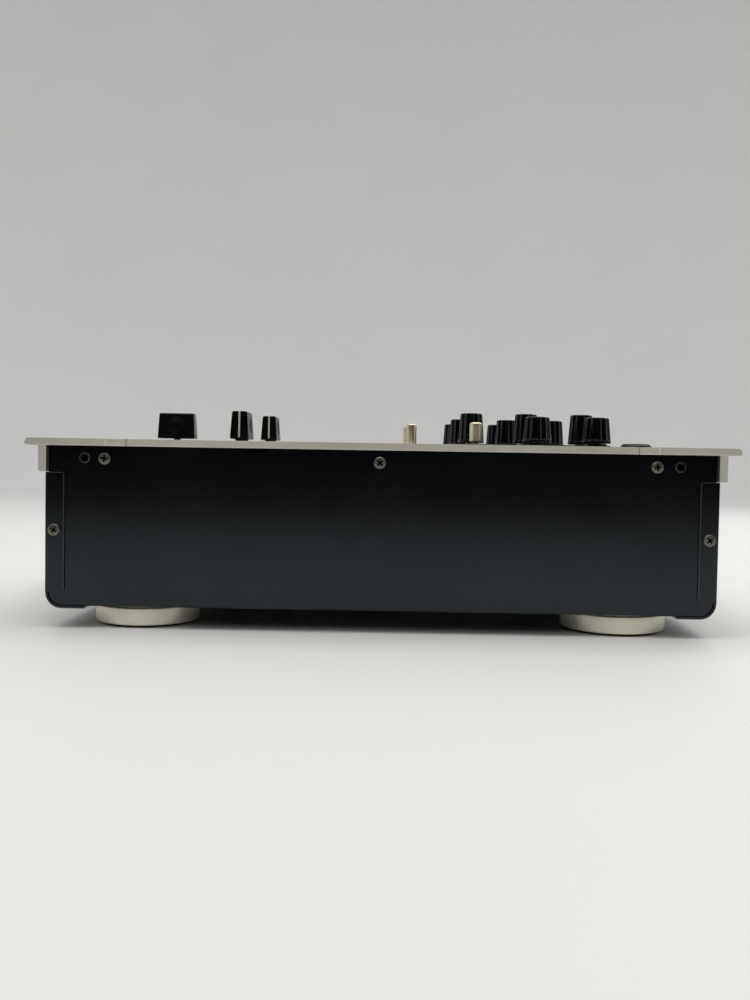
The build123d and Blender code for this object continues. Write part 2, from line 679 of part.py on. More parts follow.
# ---------------------------------------------------------------- rear connectors
def rca_places():
    """x and z of the phono sockets: three groups of two by two."""
    return [(x + dx, z) for x in RCA_GROUPS for dx in (0, RCA_PITCH) for z in RCA_ROWS]


def rca_block(x):
    """Plastic block that carries four sockets, behind the rear panel."""
    back = CASE_Y - SHEET - 0.1
    low, high = BOARD_TOP + 0.1, RCA_ROWS[1] + 8
    housing = block((x - 8, x + RCA_PITCH + 8), (back - 12, back), (low, high))
    for dx in (0, RCA_PITCH):
        for z in RCA_ROWS:
            housing += rod_y(x + dx, z, back, CASE_Y + RCA_COLLAR, 5.0)
            housing -= rod_y(x + dx, z, back - 6, CASE_Y + 1, RCA_ROOT_RADIUS + 0.02)
    return housing


def rca_socket(x, z):
    """Metal sleeve of a phono socket, with its centre contact hole."""
    back = CASE_Y - SHEET - 5.9
    sleeve = rod_y(x, z, CASE_Y + RCA_COLLAR, CASE_Y + RCA_LENGTH, RCA_RADIUS)
    sleeve += rod_y(x, z, back, CASE_Y + RCA_COLLAR, RCA_ROOT_RADIUS)
    return sleeve - rod_y(x, z, back + 4, CASE_Y + RCA_LENGTH + 1, RCA_BORE)


def power_inlet():
    """Mains inlet with three pins below, and the well of the rocker switch above."""
    width, height = INLET_CUT
    back = CASE_Y - 26.0
    body = block(
        (INLET_X - width / 2 + 0.2, INLET_X + width / 2 - 0.2),
        (back, CASE_Y),
        (INLET_Z - height / 2 + 0.2, INLET_Z + height / 2 - 0.2),
    )
    rim = block(
        (INLET_X - width / 2 - 2, INLET_X + width / 2 + 2),
        (CASE_Y, CASE_Y + 2.0),
        (INLET_Z - height / 2 - 2, INLET_Z + height / 2 + 2),
    )
    rim = fillet(rim.faces().sort_by(Axis.Y)[-1].edges(), 0.8)
    inlet = body + rim
    inlet -= block(
        (INLET_X - INLET_CAVITY[0] / 2, INLET_X + INLET_CAVITY[0] / 2),
        (CASE_Y - 16.0, CASE_Y + 3),
        (SOCKET_Z - INLET_CAVITY[1] / 2, SOCKET_Z + INLET_CAVITY[1] / 2),
    )
    for dx, dz in ((-7, -2), (0, 2), (7, -2)):
        pin = block(
            (INLET_X + dx - 1, INLET_X + dx + 1),
            (CASE_Y - 16.5, CASE_Y - 5.0),
            (SOCKET_Z + dz - 2, SOCKET_Z + dz + 2),
        )
        inlet += pin
    inlet -= block(
        (INLET_X - 10.5, INLET_X + 10.5),
        (CASE_Y - 12, CASE_Y + 3),
        (ROCKER_Z - 6.5, ROCKER_Z + 6.5),
    )
    return inlet


def power_rocker():
    """Rocker of the mains switch on its pivot along Z, tipped to its off side."""
    low, high = ROCKER_Z - 6.1, ROCKER_Z + 6.1
    points = [(-9.3, 1.6), (-8.9, 4.9), (0, 3.2), (8.9, 4.9), (9.3, 1.6), (6.0, -3.0), (-6.0, -3.0)]
    face = make_face(Polyline(*points, close=True))
    return Pos(INLET_X, ROCKER_PIVOT_Y, low) * Rot(0, 0, -ROCKER_TILT) * extrude(face, high - low)


def ground_post():
    """Threaded post and knurled nut that the turntables' earth wires are clamped by."""
    post = rod_y(GROUND_X, GROUND_Z, CASE_Y - 6.0, CASE_Y + 7.5, 2.0)
    collar = rod_y(GROUND_X, GROUND_Z, CASE_Y, CASE_Y + 1.0, 4.5)
    nut = rod_y(GROUND_X, GROUND_Z, CASE_Y + 2.0, CASE_Y + 6.5, 4.0)
    for i in range(20):
        angle = 2 * pi * i / 20
        nut -= rod_y(GROUND_X + 4.1 * cos(angle), GROUND_Z + 4.1 * sin(angle), CASE_Y + 1, CASE_Y + 8, 0.35)
    return post + collar + nut


# ---------------------------------------------------------------- inside
def panel_overlay():
    """Thin black plate on the top plate, under the rotary controls."""
    low, high = PLATE_TOP, PLATE_TOP + OVERLAY_THICK
    sheet = block((-OVERLAY_X, OVERLAY_X), OVERLAY_YS, (low, high))
    sheet = fillet(sheet.edges().filter_by(Axis.Z), 2.0)
    for _, x, y, _ in knob_table():
        sheet -= rod(x, y, low - 1, high + 1, BUSHING_HOLE)
    mic = TOGGLES["mic"]
    return sheet - rod(mic["x"], mic["y"], low - 1, high + 1, TOGGLE_HOLE + 0.3)


def control_board():
    """Circuit board under the rotary controls, cut out round the microphone switch."""
    board = block((-112, 112), (36, 122), (81.4, 83.0))
    mic = TOGGLES["mic"]
    return board - block((mic["x"] - 8, 113), (mic["y"] - 6, mic["y"] + 6), (80, 84))


def meter_board():
    """Circuit board with two rows of lamps under the meter windows."""
    board = block((-12, 12), (METER_Y - 36, METER_Y + 36), (81.4, 83.0))
    for x in METER_XS:
        for i in range(METER_LAMPS):
            y = METER_Y + (i - (METER_LAMPS - 1) / 2) * METER_SIZE[1] / METER_LAMPS
            board += block((x - 1.2, x + 1.2), (y - 2.0, y + 2.0), (83.0, 90.6))
    return board


def main_board():
    """Circuit board low in the case on spacers, with its chips, under the sockets' blocks."""
    board = block((-100, 50), (20, 165), (20.0, BOARD_TOP))
    for x in (-80, -50, -20, 10):
        for y in (45, 75, 105):
            board += block((x, x + 12), (y, y + 8), (BOARD_TOP, 25.0))
    for x in (-94, 44):
        for y in (26, 92):
            board += rod(x, y, PAN_BOTTOM + SHEET, 20.0, 3.0)
    return board


def power_transformer():
    """Ring-core transformer bolted to the bottom sheet."""
    ring = turned([(10, 0), (30, 0), (32, 3), (32, 27), (30, 30), (10, 30)])
    disc = rod(0, 0, 30, 32, 14)
    bolt = rod(0, 0, 32, 35, 4)
    core = rod(0, 0, 0, 30, 10)
    return Pos(70, -60, PAN_BOTTOM + SHEET) * (ring + core + disc + bolt)


def meter_lens(x):
    """Smoked window of a level meter, flush with the plate."""
    wide, long = METER_SIZE
    inset = 0.1
    lens = block(
        (x - wide / 2 + inset, x + wide / 2 - inset),
        (METER_Y - long / 2 + inset, METER_Y + long / 2 - inset),
        (PLATE_BOTTOM + 0.2, PLATE_TOP - 0.1),
    )
    return lens


# ---------------------------------------------------------------- everything
def main():
    os.makedirs("parts", exist_ok=True)
    save("top_plate", top_plate())
    save("plate_rails", *plate_rails())
    save("bottom_pan", bottom_pan())
    save("front_cover", front_cover())
    save("rear_panel", rear_panel())
    save("ear_nuts", *ear_nuts())
    save("feet", *[foot(x, y) for x, y in foot_places()])
    save("foot_pads", *[foot_pad(x, y) for x, y in foot_places()])
    save("foot_screws", *[foot_screw(x, y) for x, y in foot_places()])
    save("case_screws", *[case_screw(*place) for place in case_screw_places()])
    rail_screws = [rail_screw(side, y) for side in mirrored_sides() for y in RAIL_SCREW_YS]
    save("panel_screws", *[panel_screw(x, y) for x, y in fader_screw_places()], *rail_screws)

    knobs = knob_table()
    for name, x, y, shape in knobs:
        save(f"{name}_knob", knob(x, y, shape))
        save(f"{name}_shaft", pot_shaft(x, y, shape))
    save("pot_bodies", *[pot_body(x, y) for _, x, y, _ in knobs], phones_pot())
    save("pot_nuts", *[pot_nut(x, y) for _, x, y, _ in knobs])

    for name, toggle in TOGGLES.items():
        save(f"{name}_lever", toggle_lever(toggle))
    save("toggle_bodies", *[toggle_body(t) for t in TOGGLES.values()])

    for name, fader in FADERS.items():
        save(f"{name}_cap", fader_cap(fader))
        save(f"{name}_carriage", fader_carriage(fader))
    rails = [fader_rail(fader, side) for fader in FADERS.values() for side in mirrored_sides()]
    save("fader_frames", *[fader_frame(fader) for fader in FADERS.values()], *rails, cue_frame())

    save("mic_jack", mic_jack())
    save("phones_jack", phones_jack())
    save("phones_level_knob", phones_level_knob())
    save("cue_slider", cue_slider())

    save("rca_blocks", *[rca_block(x) for x in RCA_GROUPS])
    save("rca_sockets", *[rca_socket(x, z) for x, z in rca_places()])
    save("power_inlet", power_inlet())
    save("power_rocker", power_rocker())
    save("ground_post", ground_post())

    save("panel_overlay", panel_overlay())
    save("control_boards", control_board(), meter_board())
    save("main_board", main_board())
    save("power_transformer", power_transformer())
    save("meter_lenses", *[meter_lens(x) for x in METER_XS])


main()
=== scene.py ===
from math import cos, pi, radians, sin, sqrt

import bmesh
import bpy
from mathutils import Matrix, Vector


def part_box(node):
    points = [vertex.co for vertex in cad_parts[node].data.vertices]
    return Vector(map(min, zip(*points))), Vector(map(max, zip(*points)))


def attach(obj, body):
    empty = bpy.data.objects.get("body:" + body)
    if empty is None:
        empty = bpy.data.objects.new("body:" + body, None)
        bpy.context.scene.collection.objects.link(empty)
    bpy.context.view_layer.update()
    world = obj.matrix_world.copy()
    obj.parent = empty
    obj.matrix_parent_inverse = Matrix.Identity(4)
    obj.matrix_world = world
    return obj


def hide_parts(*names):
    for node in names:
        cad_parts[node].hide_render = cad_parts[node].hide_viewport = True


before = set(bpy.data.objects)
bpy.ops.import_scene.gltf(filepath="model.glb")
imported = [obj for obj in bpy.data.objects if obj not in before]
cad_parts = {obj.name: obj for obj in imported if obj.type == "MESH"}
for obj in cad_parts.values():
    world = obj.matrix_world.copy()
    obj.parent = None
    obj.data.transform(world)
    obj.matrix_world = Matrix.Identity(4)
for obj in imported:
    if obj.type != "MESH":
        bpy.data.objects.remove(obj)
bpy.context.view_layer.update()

MM = 0.001

# ---- camera and studio
CAMERA_PLACE = (0.6047, 0.0023, 0.0845)
CAMERA_TURN = 0.0111  # radians from looking along -X
CAMERA_DOWN = 0.0368
CAMERA_ROLL = 0.0163
CAMERA_LENS = 34.85  # mm, on a sensor as below along the long side
CAMERA_SENSOR = 36


def put(name, data, place=None):
    """A new object in the scene, at its place."""
    made = bpy.data.objects.new(name, data)
    bpy.context.scene.collection.objects.link(made)
    if place is not None:
        made.matrix_world = place
    return made


def make_camera():
    """Looks at the mixer's right side from just under the height of its plate, a little turned and rolled."""
    level_part = cos(CAMERA_DOWN)
    look = Vector((-cos(CAMERA_TURN) * level_part, -sin(CAMERA_TURN) * level_part, -sin(CAMERA_DOWN)))
    level = look.cross(Vector((0, 0, 1))).normalized()
    above = level.cross(look)
    right = cos(CAMERA_ROLL) * level + sin(CAMERA_ROLL) * above
    up = cos(CAMERA_ROLL) * above - sin(CAMERA_ROLL) * level
    data = bpy.data.cameras.new("camera")
    data.lens = CAMERA_LENS
    data.sensor_width = CAMERA_SENSOR
    data.clip_start = 0.02
    data.clip_end = 50
    turn = Matrix((right, up, -look)).transposed().to_4x4()
    bpy.context.scene.camera = put("camera", data, Matrix.Translation(CAMERA_PLACE) @ turn)


def area_light(name, place, target, size, power, color=(1, 1, 1)):
    """A soft rectangular lamp that looks at target."""
    data = bpy.data.lights.new(name, "AREA")
    data.shape = "RECTANGLE"
    data.size, data.size_y = size
    data.energy = power
    data.color = color
    aim = (Vector(target) - Vector(place)).to_track_quat("-Z", "Y")
    put(name, data, Matrix.Translation(place) @ aim.to_matrix().to_4x4())


# The sweep, the card and the lamps are in metres.
FLOOR_GAP = 0.0001  # the floor lies this far below the feet
FLOOR_RADII = (0.02, 0.5, 1.2)
COVE_START = 1.9
COVE_RADIUS = 1.2
COVE_STEPS = 16
WALL_HEIGHT = 3.2
SWEEP_SEGMENTS = 128
WORLD_COLOR = (0.98, 0.99, 1.0, 1)
WORLD_STRENGTH = 0.6
FLAG_PLACE = (0.78, 0, 0.553)
FLAG_SIZE = (0.54, 1.3, 1, 1)  # half height, half width


def sweep_profile():
    """Floor, curved cove and wall of the studio sweep, as (radius, height) from the centre out."""
    points = [(radius, 0) for radius in (*FLOOR_RADII, COVE_START)]
    for i in range(1, COVE_STEPS + 1):
        bend = i / COVE_STEPS * pi / 2
        points.append((COVE_START + COVE_RADIUS * sin(bend), COVE_RADIUS * (1 - cos(bend))))
    points.append((COVE_START + COVE_RADIUS, WALL_HEIGHT))
    return points


def make_studio():
    """A pale sweep of floor and wall, soft lamps, and a dark card that only indirect light meets."""
    world = bpy.data.worlds.new("studio")
    bpy.context.scene.world = world
    world.use_nodes = True
    background = world.node_tree.nodes["Background"]
    background.inputs["Color"].default_value = WORLD_COLOR
    background.inputs["Strength"].default_value = WORLD_STRENGTH
    sweep = bmesh.new()
    rings = [circle(radius, height - FLOOR_GAP, SWEEP_SEGMENTS) for radius, height in sweep_profile()]
    loft(sweep, rings, (True, False))
    floor = add_object("floor", sweep, floor_material(), smooth=True)
    flag_shape = bmesh.new()
    bmesh.ops.create_grid(flag_shape, x_segments=1, y_segments=1, size=1.0)
    flag = add_object("flag", flag_shape, flag_material())
    upright = Matrix.Rotation(pi / 2, 4, "Y")
    flag.matrix_world = Matrix.Translation(FLAG_PLACE) @ upright @ Matrix.Diagonal(FLAG_SIZE)
    for ray in ("visible_camera", "visible_shadow", "visible_transmission"):
        setattr(flag, ray, False)
    area_light("overhead", (0.1, 0.0, 1.8), (0, 0, 0), (1.9, 1.9), 20.5, (1.0, 0.985, 0.955))
    area_light("front_soft", (0.9, -1.1, 1.2), (0, 0, 0.05), (0.9, 0.7), 2.2, (1.0, 0.98, 0.95))
    area_light("rear_soft", (-1.1, 0.8, 1.0), (0, 0, 0.05), (0.9, 0.7), 4)
    area_light("side_soft", (1.5, 0.15, 1.15), (0, 0, 0.05), (1.0, 0.8), 4, (1.0, 0.985, 0.95))
    bpy.context.scene.view_settings.view_transform = "Standard"


# ---- materials
# Edges and faces of the CAD that a material marks, in millimetres.
WALL_FACE = 123.5  # the side walls' outer face
FLANGE_FACE = 123.8  # the covers' flanges stand out to here
FLANGE_EDGE = 158.0
FLANGE_TOP = 78.2
# Width of the painted highlight along the flanges' edges.
FLANGE_HIGHLIGHT_BAND = 0.4
WAIST_START = 136.8  # along Y, both ways from the middle
WAIST_START_HALF = 0.4
WAIST_END = 127.4
WAIST_END_HALF = 0.3
PLATE_UNDER = 91.5
ARRIS = 0.55
LEG_MIDDLE = 168.2  # along Y, in the thickness of a leg
SLACK = 0.1
SCREW_RADIUS = 3.15
SCREW_HEIGHT = 1.9
EAR_RIM = 2.25
LAMP_FOOT = 83.05  # the meter board's lamps stand above here
METER_RED = -28.0
METER_AMBER = -42.0
METER_MARGIN = 1.5
METER_LOW, METER_HIGH = [corner.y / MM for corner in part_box("meter_lenses")]
METER_START = METER_LOW + METER_MARGIN
METER_STEP = (METER_HIGH - METER_MARGIN - METER_START) / 10
METER_GAP = 0.8
SOCKET_SPLIT = 41.0  # between the two rows of phono sockets
COVER_FACE = 167.65


class Finish:
    """A Principled material with short calls for the procedural patterns that it is made of."""

    def __init__(self, name, metallic=0.0, specular=0.5, tint=(1, 1, 1)):
        self.material = bpy.data.materials.new(name)
        self.material.use_nodes = True
        self.nodes = self.material.node_tree.nodes
        self.links = self.material.node_tree.links
        self.shader = self.nodes["Principled BSDF"]
        self.shader.inputs["Metallic"].default_value = metallic
        self.shader.inputs["Specular IOR Level"].default_value = specular
        self.feed(self.shader.inputs["Specular Tint"], tint)
        self.place = self.nodes.new("ShaderNodeTexCoord").outputs["Object"]

    def node(self, kind, **values):
        """A node with its properties set."""
        made = self.nodes.new(kind)
        for key, value in values.items():
            setattr(made, key, value)
        return made

    def feed(self, socket, value):
        """Links value if it is a socket, and sets it otherwise. A colour gets an alpha of 1."""
        if isinstance(value, bpy.types.NodeSocket):
            self.links.new(value, socket)
        else:
            socket.default_value = (*value, 1) if isinstance(value, tuple) else value

    def noise(self, scale, stretch=(1, 1, 1), detail=3.0):
        """Soft noise from 0 to 1. scale is in cells per metre, and a larger stretch makes an axis finer."""
        mapping = self.node("ShaderNodeMapping")
        self.feed(mapping.inputs["Vector"], self.place)
        mapping.inputs["Scale"].default_value = [scale * part for part in stretch]
        made = self.node("ShaderNodeTexNoise")
        made.inputs["Scale"].default_value = 1.0
        made.inputs["Detail"].default_value = detail
        self.feed(made.inputs["Vector"], mapping.outputs["Vector"])
        return made.outputs["Fac"]

    def specks(self, scale, size):
        """1 on small scattered round specks and 0 elsewhere."""
        made = self.node("ShaderNodeTexVoronoi")
        made.inputs["Scale"].default_value = scale
        self.feed(made.inputs["Vector"], self.place)
        return self.remap(made.outputs["Distance"], size, size * 0.5, 0, 1)

    def remap(self, value, low, high, to_low, to_high):
        """Moves value from the range low to high to another range, and clamps it."""
        made = self.node("ShaderNodeMapRange")
        self.feed(made.inputs["Value"], value)
        for name, number in (("From Min", low), ("From Max", high), ("To Min", to_low), ("To Max", to_high)):
            made.inputs[name].default_value = number
        return made.outputs["Result"]

    def math(self, operation, first, second=0.0):
        """One step of arithmetic."""
        made = self.node("ShaderNodeMath", operation=operation)
        self.feed(made.inputs[0], first)
        self.feed(made.inputs[1], second)
        return made.outputs[0]

    def times(self, first, second):
        """The product."""
        return self.math("MULTIPLY", first, second)

    def above(self, value, limit):
        """1 where a value in metres is over a limit in millimetres, and 0 elsewhere."""
        return self.math("GREATER_THAN", value, limit * MM)

    def below(self, value, limit):
        """1 where a value in metres is under a limit in millimetres, and 0 elsewhere."""
        return self.math("LESS_THAN", value, limit * MM)

    def patches(self, scale, low, high, most, detail=5, stretch=(1, 1, 1)):
        """Patches of noise that rise from 0 to most as the noise goes from low to high."""
        return self.remap(self.noise(scale, stretch, detail), low, high, 0, most)

    def grain(self, scale, strength, depth, detail=2, under=None):
        """A bump of fine noise."""
        return self.bump(self.noise(scale, detail=detail), strength, depth, under)

    def clouded(self, cloud, dark, light):
        """A colour between two, by cloud."""
        return self.mix(self.remap(cloud, 0.3, 0.7, 0, 1), dark, light)

    def mix(self, share, first, second):
        """A colour between first and second."""
        made = self.node("ShaderNodeMix", data_type="RGBA")
        self.feed(made.inputs[0], share)
        self.feed(made.inputs[6], first)
        self.feed(made.inputs[7], second)
        return made.outputs[2]

    def axes(self):
        """The x, y and z of the point, in metres."""
        made = self.node("ShaderNodeSeparateXYZ")
        self.feed(made.inputs[0], self.place)
        return made.outputs

    def facing(self, axis):
        """How far the surface faces along an axis, from 0 to 1."""
        normal = self.node("ShaderNodeNewGeometry").outputs["True Normal"]
        made = self.node("ShaderNodeSeparateXYZ")
        self.feed(made.inputs[0], normal)
        return self.math("ABSOLUTE", made.outputs[axis])

    def radius(self):
        """Distance from the object's own Z axis, in metres."""
        x, y, _ = self.axes()
        squares = self.math("ADD", self.times(x, x), self.times(y, y))
        return self.math("SQRT", squares)

    def rings(self, value, scale, detail=2.0):
        """One-dimensional noise along a value, as a lathe tool leaves."""
        made = self.node("ShaderNodeTexNoise", noise_dimensions="1D")
        made.inputs["Scale"].default_value = scale
        made.inputs["Detail"].default_value = detail
        self.feed(made.inputs["W"], value)
        return made.outputs["Fac"]

    def bump(self, height, strength, distance, under=None):
        """Raises the surface by height times distance, in metres."""
        made = self.node("ShaderNodeBump")
        made.inputs["Strength"].default_value = strength
        made.inputs["Distance"].default_value = distance
        self.feed(made.inputs["Height"], height)
        if under is not None:
            self.feed(made.inputs["Normal"], under)
        return made.outputs["Normal"]

    def finish(self, color, roughness, normal=None):
        """Connects the results and gives the material."""
        self.feed(self.shader.inputs["Base Color"], color)
        self.feed(self.shader.inputs["Roughness"], roughness)
        if normal is not None:
            self.feed(self.shader.inputs["Normal"], normal)
        return self.material


def floor_material():
    """Pale matt paper."""
    paper = Finish("pale_floor", specular=0.3)
    tone = paper.mix(paper.noise(3), (0.80, 0.80, 0.79), (0.84, 0.84, 0.83))
    return paper.finish(tone, 0.6, paper.grain(900, 0.05, 0.0002, 3))


def flag_material():
    """Black cloth of the flag."""
    cloth = Finish("flag_cloth", specular=0.0)
    return cloth.finish(cloth.mix(cloth.noise(20), (0.01, 0.01, 0.012), (0.02, 0.02, 0.022)), 0.9)


def plate_material():
    """Champagne anodised aluminium: blasted, with draw lines along X, milled side edges, darker marks, painted
    highlights on some edges and painted shade in some corners.
    """
    metal = Finish("plate_aluminium", metallic=0.6, specular=0.3)
    cloud = metal.noise(14, detail=5)
    tone = metal.mix(metal.remap(cloud, 0.35, 0.65, 0, 1), (0.60, 0.575, 0.505), (0.66, 0.63, 0.555))
    marks = metal.patches(60, 0.62, 0.75, 0.22, 6, (0.4, 6, 6))
    tone = metal.mix(marks, tone, (0.42, 0.39, 0.33))
    # Painted highlights on the waist's outer corners and the plate's lower edge; painted shade in the waist's
    # inner corners and on the legs' inner faces.
    wear_and_highlight, painted_shade = waist_corner_highlight_and_shade(metal)
    wear_and_highlight = metal.math("MAXIMUM", metal.times(wear_and_highlight, 0.7), metal.times(lower_arris_highlight(metal), 0.5))
    painted_shade = metal.math("MAXIMUM", metal.times(painted_shade, 0.6), metal.times(leg_inside_shade(metal), 0.9))
    tone = metal.mix(wear_and_highlight, tone, (0.86, 0.84, 0.78))
    tone = metal.mix(painted_shade, tone, (0.10, 0.095, 0.075))
    draw_lines = metal.noise(1600, (0.004, 1, 1), 2)
    milled = metal.noise(2200, (1, 0.01, 1), 2)
    grain = metal.noise(5200, detail=2)
    relief = metal.bump(draw_lines, 0.10, 0.00006, metal.bump(grain, 0.16, 0.00004))
    relief = metal.bump(metal.times(milled, metal.facing(0)), 0.25, 0.00006, relief)
    rough = metal.remap(metal.math("ADD", cloud, metal.times(grain, 0.5)), 0.4, 1.1, 0.44, 0.56)
    return metal.finish(tone, rough, relief)


def waist_corner_highlight_and_shade(metal):
    """Two masks: 1 on a painted highlight along the upright corner where the plate's waist begins, and 1 on
    painted shade along the corner where it ends.
    """
    x, y, _ = metal.axes()
    side = metal.above(metal.math("ABSOLUTE", x), WALL_FACE)
    reach = metal.math("ABSOLUTE", y)
    lines = []
    for place, half in ((WAIST_START, WAIST_START_HALF), (WAIST_END, WAIST_END_HALF)):
        away = metal.math("ABSOLUTE", metal.math("SUBTRACT", reach, place * MM))
        lines.append(metal.times(side, metal.below(away, half)))
    return lines


def lower_arris_highlight(metal):
    """1 on the broken lower edge of the plate's sides, where a highlight is painted, and 0 elsewhere."""
    x, _, z = metal.axes()
    side = metal.above(metal.math("ABSOLUTE", x), WALL_FACE)
    band = metal.times(metal.below(z, PLATE_UNDER + ARRIS), metal.above(z, PLATE_UNDER - SLACK))
    return metal.times(metal.times(side, band), metal.facing(0))


def leg_inside_shade(metal):
    """1 on the faces of the legs that look at the case, where shade is painted, and 0 elsewhere."""
    _, y, z = metal.axes()
    near = metal.below(metal.math("ABSOLUTE", y), LEG_MIDDLE)
    low = metal.below(z, PLATE_UNDER - SLACK / 2)
    return metal.times(metal.times(near, low), metal.facing(1))


def case_material():
    """Satin black paint on steel, with faint orange peel, dust, a few specks, hairline scratches, and a painted
    highlight on the flanges' cut edges.
    """
    paint = Finish("case_black_paint", specular=0.5, tint=(0.80, 0.91, 1.0))
    dust = paint.patches(45, 0.5, 0.8, 0.05, 6, (1, 1, 0.6))
    tone = paint.mix(dust, (0.0006, 0.0008, 0.0012), (0.02, 0.02, 0.02))
    patch = paint.patches(9, 0.55, 0.65, 1, 2)
    tone = paint.mix(paint.times(paint.specks(110, 0.03), patch), tone, (0.10, 0.095, 0.085))
    hair = paint.patches(700, 0.78, 0.79, 1, 1, (1, 0.16, 1))
    upright = paint.patches(620, 0.78, 0.79, 1, 1, (1, 1, 0.2))
    scratches = paint.times(paint.math("MAXIMUM", hair, upright), patch)
    tone = paint.mix(paint.times(scratches, 0.3), tone, (0.05, 0.05, 0.052))
    # Painted highlight on the flanges' cut edges.
    tone = paint.mix(paint.times(flange_edge_highlight(paint), 0.8), tone, (0.055, 0.058, 0.066))
    orange_peel = paint.grain(750, 0.06, 0.00012, under=paint.grain(4200, 0.05, 0.00003))
    rough = paint.remap(paint.noise(25, detail=6), 0.3, 0.7, 0.15, 0.20)
    return paint.finish(tone, paint.math("ADD", rough, paint.times(scratches, 0.15)), orange_peel)


def flange_edge_highlight(paint):
    """1 on the cut edges of the covers' flanges, where a highlight is painted, and 0 elsewhere."""
    x, y, z = paint.axes()
    outside = paint.above(paint.math("ABSOLUTE", x), FLANGE_FACE)
    reach = paint.math("ABSOLUTE", y)
    side = paint.times(paint.above(reach, FLANGE_EDGE - SLACK), paint.below(reach, FLANGE_EDGE + FLANGE_HIGHLIGHT_BAND))
    head = paint.times(paint.above(z, FLANGE_TOP - FLANGE_HIGHLIGHT_BAND), paint.below(z, FLANGE_TOP + SLACK))
    return paint.times(outside, paint.math("MAXIMUM", side, head))


def foot_material():
    """Turned champagne aluminium, with tool rings round the foot's own axis."""
    metal = Finish("turned_foot", metallic=0.4)
    _, _, height = metal.axes()
    side_rings = metal.rings(height, 5200)
    face_rings = metal.rings(metal.radius(), 3600)
    cloud = metal.noise(60, detail=5)
    tone = metal.clouded(cloud, (0.84, 0.80, 0.67), (0.92, 0.88, 0.76))
    tone = metal.mix(metal.remap(side_rings, 0.45, 0.75, 0, 0.12), tone, (0.46, 0.42, 0.32))
    relief = metal.bump(metal.math("ADD", side_rings, face_rings), 0.1, 0.00004)
    return metal.finish(tone, metal.remap(cloud, 0.3, 0.7, 0.30, 0.36), relief)


def metal_material(name, dark, light, rough):
    """Plain plated or bare metal, with cloudy tone, tarnish spots and fine grain."""
    metal = Finish(name, metallic=1.0)
    cloud = metal.noise(350, detail=5)
    tone = metal.clouded(cloud, dark, light)
    spots = metal.patches(900, 0.62, 0.72, 0.15, 4)
    tone = metal.mix(spots, tone, tuple(part * 0.3 for part in dark))
    relief = metal.grain(3000, 0.2, 0.00004)
    return metal.finish(tone, metal.remap(cloud, 0.3, 0.7, rough - 0.05, rough + 0.08), relief)


def screw_material():
    """Dull nickel, with painted shade in the cross recess."""
    metal = Finish("dull_nickel", metallic=1.0)
    _, _, height = metal.axes()
    # Painted shade in the cross recess, darker towards its floor.
    low = metal.remap(height, SCREW_HEIGHT * 0.8 * MM, SCREW_HEIGHT * 0.45 * MM, 0, 1)
    inner = metal.below(metal.radius(), SCREW_RADIUS * 0.72)
    recess_shade = metal.times(low, inner)
    cloud = metal.noise(900, detail=5)
    tone = metal.clouded(cloud, (0.13, 0.12, 0.105), (0.25, 0.235, 0.205))
    tone = metal.mix(metal.patches(2200, 0.6, 0.7, 0.5, 3), tone, (0.05, 0.04, 0.03))
    tone = metal.mix(recess_shade, tone, (0.006, 0.005, 0.004))
    relief = metal.grain(3800, 0.3, 0.00005)
    rough = metal.math("ADD", metal.remap(cloud, 0.3, 0.7, 0.32, 0.42), metal.times(recess_shade, 0.4))
    return metal.finish(tone, rough, relief)


def ear_nut_material():
    """Black oxide, with a painted highlight on the rolled rim."""
    metal = Finish("black_oxide", metallic=1.0)
    rim_highlight = metal.above(metal.radius(), EAR_RIM)
    cloud = metal.noise(700, detail=5)
    # Painted highlight on the rolled rim.
    tone = metal.mix(rim_highlight, (0.012, 0.012, 0.012), (0.20, 0.20, 0.195))
    tone = metal.mix(metal.remap(cloud, 0.45, 0.7, 0, 0.6), tone, (0.05, 0.05, 0.048))
    relief = metal.grain(3000, 0.2, 0.00004)
    return metal.finish(tone, metal.remap(cloud, 0.3, 0.7, 0.3, 0.42), relief)


def lever_material():
    """Champagne toggle cap, turned."""
    metal = Finish("toggle_champagne", metallic=1.0)
    _, _, height = metal.axes()
    lines = metal.rings(height, 6000)
    cloud = metal.noise(300, detail=4)
    tone = metal.clouded(cloud, (0.80, 0.71, 0.53), (0.90, 0.82, 0.64))
    tone = metal.mix(metal.remap(lines, 0.5, 0.8, 0, 0.2), tone, (0.45, 0.38, 0.26))
    return metal.finish(tone, metal.remap(cloud, 0.3, 0.7, 0.26, 0.36), metal.bump(lines, 0.3, 0.00005))


def plastic_material(name, dark, dusty, rough, grain_scale, grain_depth, gloss=0.5):
    """Moulded plastic with a fine mould grain, handling marks in its gloss, and a little dust."""
    plastic = Finish(name, specular=gloss)
    dust = plastic.patches(500, 0.55, 0.8, 0.35, 6)
    tone = plastic.mix(dust, dark, dusty)
    handling = plastic.noise(160, (1, 1, 2), 5)
    relief = plastic.grain(grain_scale, 0.25, grain_depth)
    return plastic.finish(tone, plastic.remap(handling, 0.35, 0.65, *rough), relief)


def cream_material():
    """Cream inlay with a trace of grime."""
    ink = Finish("cream_inlay", specular=0.4)
    grime = ink.patches(420, 0.5, 0.75, 0.4)
    tone = ink.mix(grime, (0.52, 0.51, 0.44), (0.36, 0.34, 0.27))
    return ink.finish(tone, 0.42, ink.grain(4000, 0.1, 0.00003, 3))


def print_material(name, light, wear_and_highlight):
    """Screen-printed ink, thin in places."""
    ink = Finish(name, specular=0.3)
    tone = ink.mix(ink.patches(2500, 0.5, 0.7, 0.6, 3), light, wear_and_highlight)
    return ink.finish(tone, 0.6, ink.grain(5000, 0.1, 0.00002, 3))


